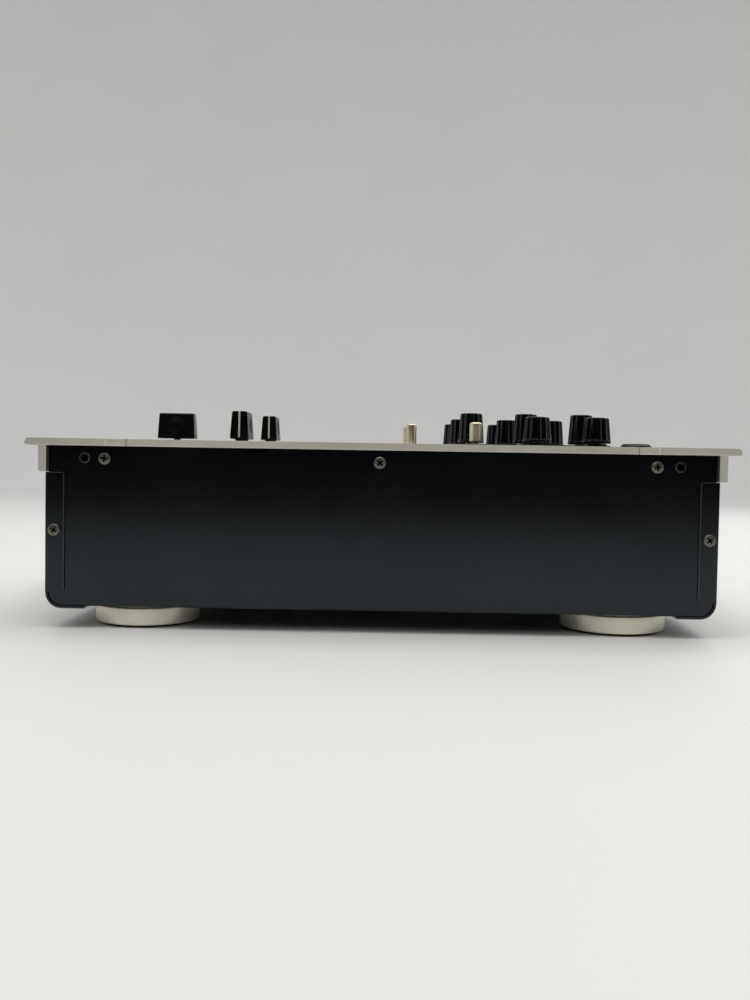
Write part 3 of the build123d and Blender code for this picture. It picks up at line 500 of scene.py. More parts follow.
def rubber_material():
    """Matt rubber with a coarse skin and dust."""
    rubber = Finish("pad_rubber", specular=0.25)
    dust = rubber.patches(300, 0.45, 0.75, 0.5)
    tone = rubber.mix(dust, (0.016, 0.016, 0.016), (0.07, 0.065, 0.06))
    return rubber.finish(tone, 0.82, rubber.grain(1800, 0.4, 0.0001, 3))


def board_material():
    """Green circuit board with copper tracks under the mask, and lamps coloured by their place."""
    board = Finish("circuit_board", specular=0.5)
    tracks = board.node("ShaderNodeTexBrick")
    tracks.inputs["Scale"].default_value = 240
    tracks.inputs["Mortar Size"].default_value = 0.06
    board.feed(tracks.inputs["Color1"], (0.02, 0.13, 0.05))
    board.feed(tracks.inputs["Color2"], (0.025, 0.16, 0.06))
    board.feed(tracks.inputs["Mortar"], (0.05, 0.26, 0.10))
    board.feed(tracks.inputs["Vector"], board.place)
    _, along, height = board.axes()
    lamp = board.above(height, LAMP_FOOT)
    hot = board.above(along, METER_RED)
    warm = board.above(along, METER_AMBER)
    glow = board.mix(warm, (0.05, 0.75, 0.12), (0.95, 0.45, 0.03))
    glow = board.mix(hot, glow, (0.9, 0.04, 0.02))
    tone = board.mix(lamp, tracks.outputs["Color"], glow)
    relief = board.bump(tracks.outputs["Fac"], 0.2, 0.00005)
    return board.finish(tone, board.remap(board.noise(500), 0.3, 0.7, 0.25, 0.4), relief)


def wrap_material():
    """Yellow polyester tape wound round the transformer."""
    tape = Finish("transformer_tape", specular=0.5)
    turns = tape.node("ShaderNodeTexWave")
    turns.inputs["Scale"].default_value = 160
    turns.inputs["Distortion"].default_value = 1.5
    tape.feed(turns.inputs["Vector"], tape.place)
    tone = tape.mix(turns.outputs["Fac"], (0.42, 0.28, 0.05), (0.60, 0.45, 0.12))
    return tape.finish(tone, 0.35, tape.bump(turns.outputs["Fac"], 0.4, 0.0002))


def lens_material():
    """Smoked window over the level meter: unlit green, amber and red segments with dark gaps."""
    lens = Finish("smoked_lens", specular=0.5)
    lens.shader.inputs["Transmission Weight"].default_value = 0.2
    lens.shader.inputs["IOR"].default_value = 1.49
    _, along, _ = lens.axes()
    turn = lens.math("PINGPONG", lens.math("SUBTRACT", along, METER_START * MM), METER_STEP / 2 * MM)
    gap = lens.below(turn, METER_GAP / 2)
    warm = lens.above(along, METER_AMBER)
    hot = lens.above(along, METER_RED)
    tone = lens.mix(warm, (0.02, 0.075, 0.02), (0.16, 0.075, 0.01))
    tone = lens.mix(hot, tone, (0.16, 0.012, 0.008))
    tone = lens.mix(lens.noise(80, detail=4), tone, (0.03, 0.015, 0.012))
    tone = lens.mix(gap, tone, (0.003, 0.002, 0.002))
    return lens.finish(tone, lens.remap(lens.noise(300, detail=5), 0.4, 0.7, 0.06, 0.14))


def socket_collar_material():
    """Sockets' blocks: white collars in the upper row and red ones in the lower row."""
    block = Finish("socket_block", specular=0.5)
    _, y, z = block.axes()
    lower = block.below(z, SOCKET_SPLIT)
    collar = block.above(y, COVER_FACE)
    ring = block.mix(lower, (0.75, 0.74, 0.70), (0.55, 0.02, 0.02))
    tone = block.mix(collar, (0.015, 0.015, 0.016), ring)
    tone = block.mix(block.patches(500, 0.55, 0.8, 0.25), tone, (0.12, 0.11, 0.10))
    return block.finish(tone, 0.42, block.grain(3500, 0.2, 0.00004, 3))


# ---- mesh tools, in millimetres
def add_object(name, shape, material, smooth=False):
    """Turns a bmesh into an object with one material. The bmesh is freed."""
    bmesh.ops.recalc_face_normals(shape, faces=shape.faces)
    mesh = bpy.data.meshes.new(name)
    shape.to_mesh(mesh)
    shape.free()
    mesh.materials.append(material)
    if smooth:
        mesh.shade_smooth()
    return put(name, mesh)


def piece(name, shape, material, body, smooth_angle, place=None):
    """A finished piece from a bmesh in millimetres. Edges over smooth_angle degrees stay sharp."""
    bmesh.ops.scale(shape, vec=(MM, MM, MM), verts=shape.verts)
    made = add_object(name, shape, material)
    made.data.shade_smooth()
    made.data.set_sharp_from_angle(angle=radians(smooth_angle))
    if place is not None:
        made.matrix_world = place
    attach(made, body)
    return made


def pieces(parts, places, smooth_angle=30):
    """Copies on the case, one at each place. A part is a name, shape, material, slot, and CAD node or None."""
    firsts = []
    for name, shape, material, slot, node in parts:
        first = piece(f"{name}_1", shape, material, "case", smooth_angle, places[0])
        if node:
            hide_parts(node)
        firsts.append(first)
    for i, place in enumerate(places[1:], 2):
        for (name, _, _, slot, _), first in zip(parts, firsts):
            made = put(f"{name}_{i}", first.data, place)
            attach(made, "case")


def loft(shape, rings, closed_ends=(True, True)):
    """Skins rings of points, each with the same count, and closes the first and last with a face."""
    rows = [[shape.verts.new(point) for point in ring] for ring in rings]
    count = len(rows[0])
    for low, high in zip(rows, rows[1:]):
        for i in range(count):
            j = (i + 1) % count
            shape.faces.new((low[i], low[j], high[j], high[i]))
    for row, closed in ((rows[0], closed_ends[0]), (rows[-1], closed_ends[1])):
        if closed:
            shape.faces.new(row)
    return rows


def circle(radius, height, count):
    """Points evenly round Z."""
    angles = [2 * pi * i / count for i in range(count)]
    return [(radius * cos(a), radius * sin(a), height) for a in angles]


def turned(shape, profile, segments):
    """Revolves points (radius, height) about Z. A radius of 0 at an end closes it to a point."""
    rows = []
    for radius, height in profile:
        ring = circle(radius, height, segments) if radius else [(0, 0, height)]
        rows.append([shape.verts.new(point) for point in ring])
    pairs = list(zip(rows, rows[1:]))
    if profile[0][0] and profile[-1][0]:
        pairs.append((rows[-1], rows[0]))
    for low, high in pairs:
        for i in range(segments):
            j = (i + 1) % segments
            corners = [low[i % len(low)], low[j % len(low)], high[j % len(high)], high[i % len(high)]]
            unique = list(dict.fromkeys(corners))
            if len(unique) > 2:
                shape.faces.new(unique)


def rounded(profile, radius, steps=4):
    """The profile with each inner corner replaced by an arc of at most radius."""
    made = [profile[0]]
    for before, corner, after in zip(profile, profile[1:], profile[2:]):
        a, b, c = Vector(before), Vector(corner), Vector(after)
        reach = min(radius, (a - b).length * 0.45, (c - b).length * 0.45)
        start = b + (a - b).normalized() * reach
        end = b + (c - b).normalized() * reach
        for i in range(steps + 1):
            t = i / steps
            made.append(tuple(start * (1 - t) ** 2 + b * 2 * t * (1 - t) + end * t**2))
    made.append(profile[-1])
    return made


def box(shape, low, high, bevel):
    """A block between two corners, with bevelled edges."""
    size = Vector(high) - Vector(low)
    middle = (Vector(high) + Vector(low)) / 2
    turn = Matrix.Translation(middle) @ Matrix.Diagonal((*size, 1))
    made = bmesh.ops.create_cube(shape, size=1.0, matrix=turn)
    edges = {edge for vertex in made["verts"] for edge in vertex.link_edges}
    bmesh.ops.bevel(shape, geom=list(edges), offset=bevel, segments=2, affect="EDGES", profile=0.5)


def carved(solid, cutter):
    """The first bmesh with the second cut out of it, both in millimetres. Both are freed."""
    objects = []
    for shape in (solid, cutter):
        bmesh.ops.recalc_face_normals(shape, faces=shape.faces)
        mesh = bpy.data.meshes.new("carving")
        shape.to_mesh(mesh)
        shape.free()
        objects.append(put("carving", mesh))
    cut = objects[0].modifiers.new("cut", "BOOLEAN")
    cut.operation = "DIFFERENCE"
    cut.solver = "EXACT"
    cut.object = objects[1]
    result = bmesh.new()
    result.from_object(objects[0], bpy.context.evaluated_depsgraph_get())
    for made in objects:
        mesh = made.data
        bpy.data.objects.remove(made)
        bpy.data.meshes.remove(mesh)
    return result


def node_place(node):
    """Centre, lowest and highest corner of a CAD node, in millimetres."""
    low, high = [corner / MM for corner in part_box(node)]
    return (low + high) / 2, low, high


def at(x, y, z):
    """A place, from millimetres."""
    return Matrix.Translation((x * MM, y * MM, z * MM))


def solids_of(node):
    """Lowest and highest corner, in millimetres, of each separate solid of a CAD node."""
    shape = bmesh.new()
    shape.from_mesh(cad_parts[node].data)
    bmesh.ops.remove_doubles(shape, verts=shape.verts, dist=1e-6)
    left = set(shape.verts)
    found = []
    while left:
        start = left.pop()
        group, front = [start], [start]
        while front:
            for edge in front.pop().link_edges:
                for vertex in edge.verts:
                    if vertex in left:
                        left.remove(vertex)
                        group.append(vertex)
                        front.append(vertex)
        low = Vector([min(v.co[i] for v in group) for i in range(3)]) / MM
        high = Vector([max(v.co[i] for v in group) for i in range(3)]) / MM
        found.append((low, high))
    shape.free()
    return sorted(found, key=lambda pair: tuple(round(c, 2) for c in pair[0]))


# ---- knobs
FLUTES = 12
STEPS_PER_FLUTE = 14
FLUTE_DEPTH = 0.6
SKIRT = 1.5
POINTER_WIDTH = 0.9
TOP_SHARE = 0.845  # the taper's top radius over its base radius
CROWN = 0.9
CROWN_STEPS = 6
TAPER_SHARES = (0, 0.008, 0.016, 0.024, 0.032, 0.06, 0.2, 0.4, 0.6, 0.8, 0.9)


def knob_radius(t, angle, base, top, height):
    """Radius of the knob at a share t of its height above the skirt: a taper with scalloped flutes."""
    plain = base + (top - base) * t
    z = SKIRT + t * (height - SKIRT)
    rise = min(1.0, max(0.0, (z - SKIRT) / 0.35))
    fade = min(1.0, max(0.0, (height - 0.35 - z) / 0.5))
    mask = rise * rise * (3 - 2 * rise) * (0.6 + 0.4 * fade)
    wave = abs(sin(angle * FLUTES / 2))
    return plain - FLUTE_DEPTH * mask * wave**1.35


def make_knob(name, body):
    """A fluted knob with a plain skirt, a rounded crown, and a pointer line over its top and rear side."""
    node = f"{name}_knob"
    middle, low, high = node_place(node)
    base = (high.x - low.x) / 2
    height = high.z - low.z
    top = base * TOP_SHARE
    count = FLUTES * STEPS_PER_FLUTE

    def fluted(z, inset):
        ring = []
        for a in [2 * pi * i / count for i in range(count)]:
            radius = knob_radius((z - SKIRT) / (height - SKIRT), a, base, top, height) - inset
            ring.append((radius * cos(a), radius * sin(a), z))
        return ring

    skirt = ((0, 0.35), (0.1, 0.1), (0.3, 0.0), (SKIRT - 0.25, 0.0), (SKIRT - 0.05, 0.06))
    rings = [circle(base - inset, z, count) for z, inset in skirt]
    rings += [fluted(SKIRT + share * (height - CROWN - SKIRT), 0) for share in TAPER_SHARES]
    for i in range(CROWN_STEPS + 1):
        bend = i / CROWN_STEPS * pi / 2
        rings.append(fluted(height - CROWN * (1 - sin(bend)), CROWN * (1 - cos(bend))))
    dish = top - 1.6
    rings += [circle(dish, height, count), circle(dish - 0.4, height - 0.18, count)]
    shape = bmesh.new()
    loft(shape, rings)
    place = at(middle.x, middle.y, low.z)
    knob = piece(f"{name}_fluted_knob", shape, KNOB, body, 40, place)
    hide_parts(node)
    line = bmesh.new()
    run = [(0, 0.4, height - 0.2), (0, dish - 0.4, height - 0.2), (0, dish, height - 0.02)]
    run += [(0, top - 1.25, height - 0.02), (0, top - 0.55, height - 0.35), (0, top - 0.36, height - 1.2)]
    run += [(0, base - 0.12, SKIRT + 0.2)]
    ribbon(line, run, POINTER_WIDTH, 0.16)
    piece(f"{name}_pointer", line, POINTER, body, 40, place)


def ribbon(shape, run, width, thick):
    """A flat strip of even width along X that follows points in the YZ plane, with its long edges broken."""
    points = [Vector(point) for point in run]
    rings = []
    for i, point in enumerate(points):
        ahead = points[min(i + 1, len(points) - 1)] - points[max(i - 1, 0)]
        out = Vector((0, -ahead.z, ahead.y)).normalized()
        half, lip = width / 2, width / 2 - 0.06
        section = ((-half, -thick), (half, -thick), (half, 0.02), (lip, 0.07), (-lip, 0.07), (-half, 0.02))
        rings.append([point + Vector((x, 0, 0)) + out * rise for x, rise in section])
    loft(shape, rings)


# ---- fader caps
CAP_HEIGHT = 15.7
CAP_LONG = (23.0, 21.2)
CAP_SHORT = (10.7, 8.6)
CAP_CORNER = 0.8
CAP_CROWN = 1.15
CAP_END_CROWN = 0.45
CAP_SCOOP_RADIUS = 16.6
CAP_SCOOP_DEPTH = 1.0
INLAY_WIDTH = 1.05
CAP_LEVELS = 26
CAP_CROWN_STEPS = 7
CAP_SIDE_STEPS = 26
CAP_CORNER_STEPS = 7


def rounded_rectangle(half_x, half_y, corner):
    """Points round a rectangle with round corners, counter-clockwise, evenly set along each side."""
    points = []
    centres = [(half_x - corner, half_y - corner), (corner - half_x, half_y - corner)]
    centres += [(corner - half_x, corner - half_y), (half_x - corner, corner - half_y)]
    for turn, (cx, cy) in enumerate(centres):
        arc = []
        for i in range(CAP_CORNER_STEPS + 1):
            angle = pi / 2 * (turn + i / CAP_CORNER_STEPS)
            arc.append((cx + corner * cos(angle), cy + corner * sin(angle)))
        nx, ny = centres[(turn + 1) % 4]
        after = pi / 2 * (turn + 1)
        goal = (nx + corner * cos(after), ny + corner * sin(after))
        points += arc
        last = arc[-1]
        for i in range(1, CAP_SIDE_STEPS):
            t = i / CAP_SIDE_STEPS
            points.append((last[0] + (goal[0] - last[0]) * t, last[1] + (goal[1] - last[1]) * t))
    return points


def cap_inset(y, z):
    """How far the finger scoop takes a wide face in, at y along it and z above the cap's foot."""
    reach = CAP_SCOOP_RADIUS**2 - y**2 - (z - CAP_HEIGHT / 2) ** 2
    if reach <= 0:
        return 0.0
    depth = sqrt(reach) - (CAP_SCOOP_RADIUS - CAP_SCOOP_DEPTH)
    return max(0.0, depth)


def make_cap(name, body, along_x):
    """A tapered fader cap with a scoop in each wide face, a hub below, and a cream line over it."""
    node = f"{name}_cap"
    middle, low, high = node_place(node)
    seat = high.z - CAP_HEIGHT
    levels = [(0.0, 0.35, 0.35), (0.12, 0.12, 0.12), (0.35, 0.0, 0.0)]
    for i in range(1, CAP_LEVELS + 1):
        levels.append((0.35 + (CAP_HEIGHT - CAP_CROWN - 0.35) * i / CAP_LEVELS, 0.0, 0.0))
    for i in range(1, CAP_CROWN_STEPS + 1):
        bend = i / CAP_CROWN_STEPS * pi / 2
        height = CAP_HEIGHT - CAP_CROWN * (1 - sin(bend))
        levels.append((height, CAP_CROWN * (1 - cos(bend)), CAP_END_CROWN * (1 - cos(bend))))
    rings = []
    for z, inset, end_inset in levels:
        t = z / CAP_HEIGHT
        half_x = (CAP_SHORT[0] + (CAP_SHORT[1] - CAP_SHORT[0]) * t) / 2 - inset
        half_y = (CAP_LONG[0] + (CAP_LONG[1] - CAP_LONG[0]) * t) / 2 - end_inset
        ring = []
        for x, y in rounded_rectangle(half_x, half_y, CAP_CORNER - end_inset * 0.6):
            if abs(abs(x) - half_x) < 0.02:
                x -= (1 if x > 0 else -1) * cap_inset(y, z)
            ring.append((x, y, z))
        rings.append(ring)
    shape = bmesh.new()
    rows = loft(shape, rings, (True, False))
    bmesh.ops.triangulate(shape, faces=[shape.faces.new(rows[-1])])
    box(shape, (-3.6, -1.55, low.z - seat), (3.6, 1.55, 0.4), 0.25)
    place = at(middle.x, middle.y, seat) @ Matrix.Rotation(pi / 2 if along_x else 0, 4, "Z")
    cap = piece(f"{name}_moulded_cap", shape, CAP, body, 35, place)
    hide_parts(node)
    half_foot, half_top = CAP_LONG[0] / 2, CAP_LONG[1] / 2
    run = [(0, half_foot - 0.07, 0.9), (0, half_top + 0.08, CAP_HEIGHT - CAP_CROWN)]
    for i in range(1, 6):
        bend = i / 5 * pi / 2
        run.append((0, half_top - CAP_END_CROWN * (1 - cos(bend)), CAP_HEIGHT - CAP_CROWN * (1 - sin(bend))))
    run = [(0, -y, z) for _, y, z in run] + [(0, y, z) for _, y, z in reversed(run)]
    inlay = bmesh.new()
    ribbon(inlay, run, INLAY_WIDTH, 0.12)
    piece(f"{name}_inlay", inlay, CREAM, body, 40, place)


# ---- toggles
PLATE_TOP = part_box("panel_overlay")[0].z / MM
OVERLAY_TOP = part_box("panel_overlay")[1].z / MM
TOGGLE_PIVOT = 87.0
TOGGLE_GAP = 0.7


def make_toggle(name, body):
    """A turned toggle cap with a chamfered, slightly domed top on its steel bat."""
    node = f"{name}_lever"
    middle, low, high = node_place(node)
    radius = (high.x - low.x) / 2
    foot = (OVERLAY_TOP if name == "mic" else PLATE_TOP) + TOGGLE_GAP
    shape = bmesh.new()
    profile = [(0, foot), (radius - 1.2, foot), (radius, foot + 0.7), (radius, high.z - 0.95)]
    profile += [(radius - 0.25, high.z - 0.5), (radius - 0.95, high.z - 0.1), (0, high.z)]
    turned(shape, [(r, z - low.z) for r, z in rounded(profile, 0.35)], 72)
    place = at(middle.x, middle.y, low.z)
    cap = piece(f"{name}_toggle_cap", shape, LEVER, body, 30, place)
    bat = bmesh.new()
    neck = [(0, low.z), (1.4, low.z + 0.3), (2.0, TOGGLE_PIVOT), (1.4, TOGGLE_PIVOT + 1.5)]
    neck += [(1.4, foot + 1), (0, foot + 1)]
    turned(bat, [(r, z - low.z) for r, z in rounded(neck, 0.5)], 48)
    piece(f"{name}_toggle_bat", bat, NICKEL, body, 30, place)
    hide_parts(node)


# ---- screws, nuts and feet
SCREW_TURNS = (0.5, 1.2, 0.2, 0.9, 0.4, 1.4, 0.7, 0.1, 1.0, 0.6)
FOOT_TURNS = (0, pi / 2, pi, -pi / 2)
FOOT_TOP = 9.9
FOOT_SEAT = 4.5  # the foot screw's head rests here


def cross_cutter(z, arm, width, depth):
    """The tapered cross of a screwdriver's tip, pointing down from height z."""
    rings = []
    for share in (-0.3, 1.0):
        half = arm / 2 * (1 - 0.45 * max(0.0, share))
        side = width / 2 * (1 - 0.3 * max(0.0, share))
        corner = [(half, -side), (half, side), (side, side)]
        ring = []
        for turn in range(4):
            for x, y in corner:
                for _ in range(turn):
                    x, y = -y, x
                ring.append((x, y, z - depth * share))
        rings.append(ring)
    shape = bmesh.new()
    loft(shape, rings)
    return shape


def screw_head(radius, height, arm, width, depth):
    """A pan head with its foot at height 0, with a cross recess."""
    shape = bmesh.new()
    profile = [(0, -0.2), (radius - 0.12, -0.2), (radius, 0.12), (radius, height * 0.5)]
    profile += [(radius * 0.9, height * 0.82), (radius * 0.72, height * 0.95), (0, height)]
    turned(shape, rounded(profile, 0.4), 72)
    return carved(shape, cross_cutter(height, arm, width, depth))


def wall_places(node, turns, depth=0.0):
    """Places of a node's solids in the side walls, depth under their outer ends, facing out and turned."""
    places = []
    for (low, high), turn in zip(solids_of(node), turns):
        side = 1 if low.x > 0 else -1
        face = (high.x if side > 0 else low.x) - side * depth
        facing = Matrix.Rotation(side * pi / 2, 4, "Y") @ Matrix.Rotation(turn, 4, "Z")
        places.append(at(face, (low.y + high.y) / 2, (low.z + high.z) / 2) @ facing)
    return places


def make_case_screws():
    """Ten pan-head screws in the sides, each turned to its own angle."""
    head = screw_head(SCREW_RADIUS, SCREW_HEIGHT, 4.1, 1.0, 1.3)
    places = wall_places("case_screws", SCREW_TURNS, SCREW_HEIGHT)
    pieces([("case_screw_head", head, SCREW, "nickel_screw", "case_screws")], places)


def make_ear_nuts():
    """Four rivet nuts: a dark rolled ring round a threaded hole, almost flush with the side wall."""
    ring = [(1.5, -6.0), (2.1, -6.0), (2.1, -0.5), (2.6, -0.5), (2.6, -0.14), (2.46, 0), (2.1, 0)]
    ring += [(1.95, -0.2), (1.9, -0.75), (1.5, -0.85)]
    for turn in range(6):
        ring += [(1.35, -1.15 - 0.7 * turn), (1.5, -1.5 - 0.7 * turn)]
    shape = bmesh.new()
    turned(shape, ring, 64)
    places = wall_places("ear_nuts", (0, 0, 0, 0))
    pieces([("ear_nut_ring", shape, BLACK_METAL, "black_hardware", "ear_nuts")], places, 40)


def make_feet():
    """Four turned feet, their ring pads and their screws."""
    places = []
    for (low, high), turn in zip(solids_of("feet"), FOOT_TURNS):
        places.append(at((low.x + high.x) / 2, (low.y + high.y) / 2, 0) @ Matrix.Rotation(turn, 4, "Z"))
    low, high = solids_of("feet")[0]
    radius, boss = (high.x - low.x) / 2, high.z
    pad_low, pad_high = solids_of("foot_pads")[0]
    pad = (pad_high.x - pad_low.x) / 2
    edge = [(2.2, FOOT_SEAT), (5.0, FOOT_SEAT), (5.0, 2.0), (pad + 0.1, 2.0), (pad + 0.1, low.z)]
    edge += [(radius - 0.6, low.z), (radius, low.z + 0.6), (radius, FOOT_TOP - 0.3), (radius - 0.3, FOOT_TOP)]
    edge += [(radius - 3.0, FOOT_TOP), (radius - 3.0, boss), (2.2, boss)]
    foot, rubber = bmesh.new(), bmesh.new()
    turned(foot, rounded(edge, 0.25, 3), 160)
    ring = [(8.0, 0.3), (8.3, 0), (pad - 0.4, 0), (pad, 0.4), (pad, 2.0), (8.0, 2.0)]
    turned(rubber, rounded(ring, 0.2, 3), 128)
    head = screw_head(3.8, 2.6, 4.6, 1.0, 1.6)
    bmesh.ops.rotate(head, cent=(0, 0, 0), matrix=Matrix.Rotation(pi, 3, "X"), verts=head.verts)
    bmesh.ops.translate(head, vec=(0, 0, FOOT_SEAT), verts=head.verts)
    turned(head, [(0, 4.4), (2.0, 4.5), (2.0, 16.2), (1.4, 17.0), (0, 17.0)], 32)
    pieces([
        ("foot_turned", foot, FOOT, "foot_aluminium", "feet"),
        ("foot_pad", rubber, RUBBER, "pad_rubber", "foot_pads"),
        ("foot_screw", head, NICKEL, "nickel_screw", "foot_screws"),
    ], places)


# ---- jacks and rear sockets
JACK_FRONT = 2.0
JACK_BACK = -22.0
JACK_BORE = 3.2


def make_jack(name, place, bezel):
    """A phone jack along +Z with its panel at 0: a domed bezel round a nickel ferrule, on a barrel."""
    front, back, bore = JACK_FRONT, JACK_BACK, JACK_BORE
    ring = [(4.4, front - 0.55), (5.2, front - 0.1), (bezel - 1.4, front), (bezel - 0.35, front - 0.85)]
    ring += [(bezel, front - 1.55), (bezel, 0), (5.0, 0), (5.0, back), (bore, back), (bore, back + 2.0)]
    ring += [(bore, front - 1.2), (4.4, front - 1.2)]
    shape = bmesh.new()
    turned(shape, rounded(ring, 0.35, 3), 96)
    made = piece(f"{name}_bezel", shape, BEZEL, "case", 30, place)
    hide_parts(name)
    ring = [(bore + 0.02, front - 5), (bore + 0.02, front - 0.9), (bore + 0.3, front - 0.55), (4.2, front - 0.6)]
    ring += [(4.35, front - 1.0), (4.35, front - 1.19), (3.6, front - 1.19), (3.6, front - 5)]
    ferrule = bmesh.new()
    turned(ferrule, ring, 72)
    piece(f"{name}_ferrule", ferrule, NICKEL, "case", 30, place)


def make_phono_sockets():
    """Twelve phono sockets: a plated sleeve with a rolled lip, and a white insert with its contact hole."""
    places = []
    for low, high in solids_of("rca_sockets"):
        middle = (low + high) / 2
        places.append(at(middle.x, high.y, middle.z) @ Matrix.Rotation(-pi / 2, 4, "X"))
    low, high = solids_of("rca_sockets")[0]
    radius, length = (high.x - low.x) / 2, high.y - COVER_FACE
    ring = [(3.35, -0.15), (3.5, 0), (radius - 0.2, 0), (radius, -0.25), (radius, -1.1)]
    ring += [(radius - 0.12, -1.25), (radius - 0.12, 0.75 - length), (radius - 0.25, -length), (3.88, -length)]
    ring += [(3.88, -length - 6.5), (3.35, -length - 6.5)]
    sleeve, insert = bmesh.new(), bmesh.new()
    turned(sleeve, ring, 72)
    ring = [(1.6, -0.75), (1.75, -0.6), (3.2, -0.6), (3.34, -0.8), (3.34, -length - 4), (1.6, -length - 4)]
    turned(insert, ring, 48)
    pieces([
        ("phono_sleeve", sleeve, GOLD, "gold_contact", "rca_sockets"),
        ("phono_insert", insert, INSERT, "black_plastic", None),
    ], places)


# ---- printing on the panel
PRINT_THICK = 0.03
THIN_LINE = 0.3
WIDE_LINE = 0.5
DIAL_TICKS = 11
DIAL_SWEEP = radians(300)
FADER_MIDDLE_Y = -54.0
FADER_HALF = 30.0
CROSSFADER_HALF = 22.5


def tick(shape, x, y, z, angle, near, far, width):
    """One printed line from near to far of a centre, at an angle from +Y."""
    along = Vector((sin(angle), cos(angle), 0))
    side = Vector((along.y, -along.x, 0)) * width / 2
    centre = Vector((x, y, z))
    start, end = centre + along * near, centre + along * far
    foot = [start - side, start + side, end + side, end - side]
    loft(shape, [foot, [point + Vector((0, 0, PRINT_THICK)) for point in foot]])


def make_printing():
    """Dial ticks round the knobs, scales beside the faders, and marks beside the meter. No lettering."""
    on_overlay, on_plate = bmesh.new(), bmesh.new()

    def pair(x, y, near, far, width):
        for side in (-1, 1):
            tick(on_plate, x, y, PLATE_TOP, side * pi / 2, near, far, width)

    _, _, overlay = node_place("panel_overlay")
    for name in KNOBS:
        middle, low, high = node_place(f"{name}_knob")
        reach = (high.x - low.x) / 2
        for i in range(DIAL_TICKS):
            angle = DIAL_SWEEP * (i / (DIAL_TICKS - 1) - 0.5)
            long = i in (0, DIAL_TICKS // 2, DIAL_TICKS - 1)
            far = reach + (3.0 if long else 2.2)
            if middle.y + cos(angle) * far < overlay.y - 0.4:
                width = 0.45 if long else THIN_LINE
                tick(on_overlay, middle.x, middle.y, overlay.z, angle, reach + 0.9, far, width)
    for name in ("left_fader", "right_fader"):
        middle, _, _ = node_place(f"{name}_cap")
        for i in range(11):
            y = FADER_MIDDLE_Y + FADER_HALF * (i / 5 - 1)
            far, width = (9.0, WIDE_LINE) if i % 5 == 0 else (7.0, THIN_LINE)
            pair(middle.x, y, 4.0, far, width)
    middle, _, _ = node_place("crossfader_cap")
    for i in range(9):
        x = middle.x + CROSSFADER_HALF * (i / 4 - 1)
        far, width = (8.5, WIDE_LINE) if i % 4 == 0 else (6.5, THIN_LINE)
        for angle in (0, pi):
            tick(on_plate, x, middle.y, PLATE_TOP, angle, 4.0, far, width)
    for i in range(11):
        pair(0, METER_START + METER_STEP * i, 9.6, 12.0 if i % 5 == 0 else 11.1, THIN_LINE)
    for name in ("left_input", "right_input"):
        middle, _, _ = node_place(f"{name}_lever")
        pair(middle.x, middle.y, 5.2, 8.6, WIDE_LINE)
    piece("overlay_printing", on_overlay, WHITE_INK, "case", 30)
    piece("plate_printing", on_plate, DARK_INK, "case", 30)


# ---- CAD nodes that stay
def soften(node, width):
    """Rounds a CAD node's sharp edges: its triangles are joined to flat faces first."""
    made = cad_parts[node]
    weld = made.modifiers.new("weld", "WELD")
    weld.merge_threshold = 1e-6
    flat = made.modifiers.new("flat", "DECIMATE")
    flat.decimate_type = "DISSOLVE"
    flat.angle_limit = radians(0.2)
    bevel = made.modifiers.new("edges", "BEVEL")
    bevel.width = width * MM
    bevel.segments = 2
    bevel.limit_method = "ANGLE"
    bevel.angle_limit = radians(30)
    bevel.harden_normals = True


def dress(node, material):
    """Gives a CAD node its material."""
    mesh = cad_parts[node].data
    mesh.materials.clear()
    mesh.materials.append(material)


# ---- everything
BLACK = (0.0016, 0.0019, 0.0026)
KNOB = plastic_material("knob_black", BLACK, (0.012, 0.012, 0.013), (0.12, 0.2), 5200, 0.00002, 0.3)
SATIN = (0.0016, 0.0016, 0.0018)
CAP = plastic_material("cap_black", SATIN, (0.01, 0.01, 0.009), (0.24, 0.34), 7000, 0.000008, 0.18)
GREY = (0.035, 0.034, 0.032)
PLASTIC = plastic_material("moulded_black", (0.004, 0.004, 0.0042), GREY, (0.3, 0.44), 3600, 0.00005)
IVORY = (0.70, 0.69, 0.65)
INSERT = plastic_material("socket_white", IVORY, (0.45, 0.42, 0.36), (0.3, 0.45), 3600, 0.00003)
MATT = (0.0025, 0.0025, 0.0027)
BEZEL = plastic_material("matt_bezel", MATT, (0.02, 0.02, 0.019), (0.42, 0.55), 3600, 0.00004)
CREAM = cream_material()
POINTER = print_material("pointer_white", (0.82, 0.81, 0.78), (0.62, 0.60, 0.55))
WHITE_INK = print_material("white_ink", (0.78, 0.77, 0.74), (0.5, 0.49, 0.46))
DARK_INK = print_material("dark_ink", (0.02, 0.02, 0.022), (0.09, 0.085, 0.08))
NICKEL = metal_material("nickel", (0.50, 0.48, 0.43), (0.66, 0.64, 0.58), 0.28)
ZINC = metal_material("zinc_steel", (0.52, 0.53, 0.53), (0.66, 0.66, 0.64), 0.38)
MILL = metal_material("mill_aluminium", (0.62, 0.62, 0.62), (0.74, 0.74, 0.73), 0.42)
GOLD = metal_material("gold_plate", (0.80, 0.56, 0.20), (0.92, 0.70, 0.32), 0.22)
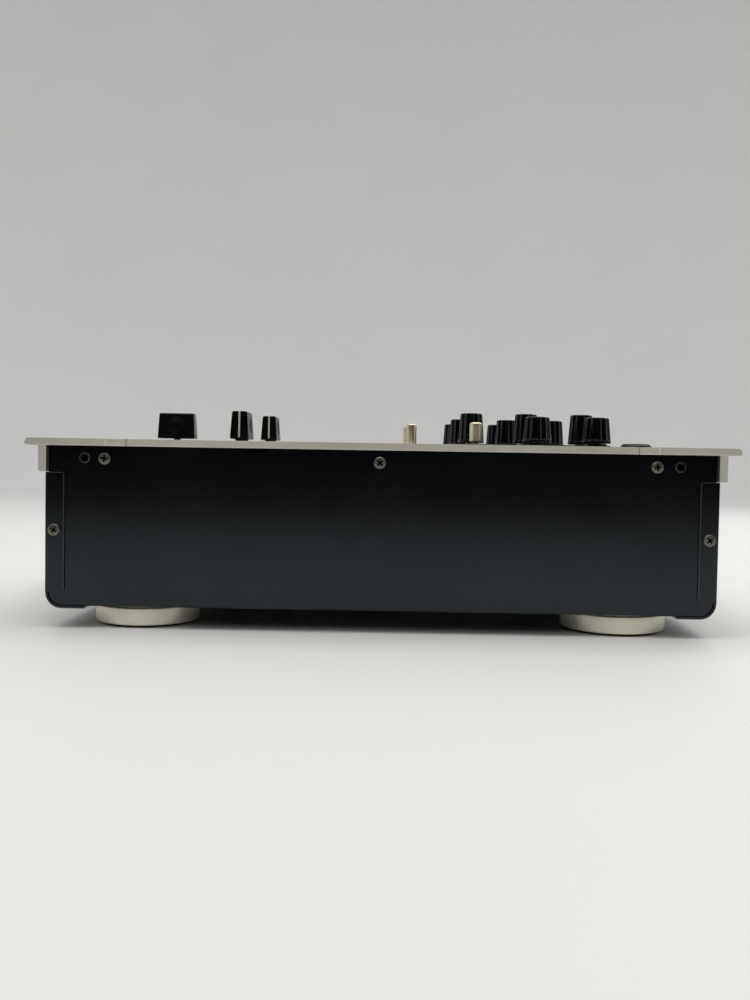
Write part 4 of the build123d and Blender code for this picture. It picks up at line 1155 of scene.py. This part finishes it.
DARK_NUT = metal_material("dark_nut", (0.012, 0.012, 0.012), (0.03, 0.03, 0.03), 0.42)
SCREW = screw_material()
BLACK_METAL = ear_nut_material()
LEVER = lever_material()
FOOT = foot_material()
RUBBER = rubber_material()
PLATE = plate_material()
CASE = case_material()

CAD_LOOKS = {
    "top_plate": PLATE, "plate_rails": MILL, "bottom_pan": CASE, "front_cover": CASE, "rear_panel": CASE,
    "panel_screws": NICKEL, "pot_bodies": ZINC, "pot_nuts": DARK_NUT, "toggle_bodies": PLASTIC,
    "fader_frames": ZINC, "rca_blocks": socket_collar_material(), "power_inlet": PLASTIC,
    "power_rocker": KNOB, "ground_post": NICKEL, "control_boards": board_material(),
    "main_board": board_material(), "power_transformer": wrap_material(), "meter_lenses": lens_material(),
    "panel_overlay": PLASTIC, "phones_level_knob": KNOB, "cue_slider": CAP,
}
EDGES = {
    "top_plate": 0.22, "front_cover": 0.3, "rear_panel": 0.3, "bottom_pan": 0.12, "panel_overlay": 0.08,
    "power_inlet": 0.15, "power_rocker": 0.3, "cue_slider": 0.2, "rca_blocks": 0.12, "pot_nuts": 0.12,
}
KNOBS = {name[: -len("_knob")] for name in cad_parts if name.endswith("_knob")} - {"phones_level"}
KNOBS = sorted(KNOBS)

make_camera()
make_studio()
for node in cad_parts:
    if node in CAD_LOOKS:
        dress(node, CAD_LOOKS[node])
    elif node.endswith(("_shaft", "_carriage")):
        dress(node, ZINC)
for node, width in EDGES.items():
    soften(node, width)
for name in KNOBS:
    make_knob(name, f"{name}_control")
for name in ("crossfader", "left_fader", "right_fader"):
    make_cap(name, f"{name}_slider", name != "crossfader")
for name in ("left_input", "right_input", "mic"):
    make_toggle(name, f"{name}_switch")
make_case_screws()
make_ear_nuts()
make_feet()
middle, _, _ = node_place("mic_jack")
make_jack("mic_jack", at(middle.x, middle.y, PLATE_TOP), 7.8)
middle, low, _ = node_place("phones_jack")
make_jack("phones_jack", at(middle.x, low.y + JACK_FRONT, middle.z) @ Matrix.Rotation(pi / 2, 4, "X"), 7.5)
make_phono_sockets()
make_printing()
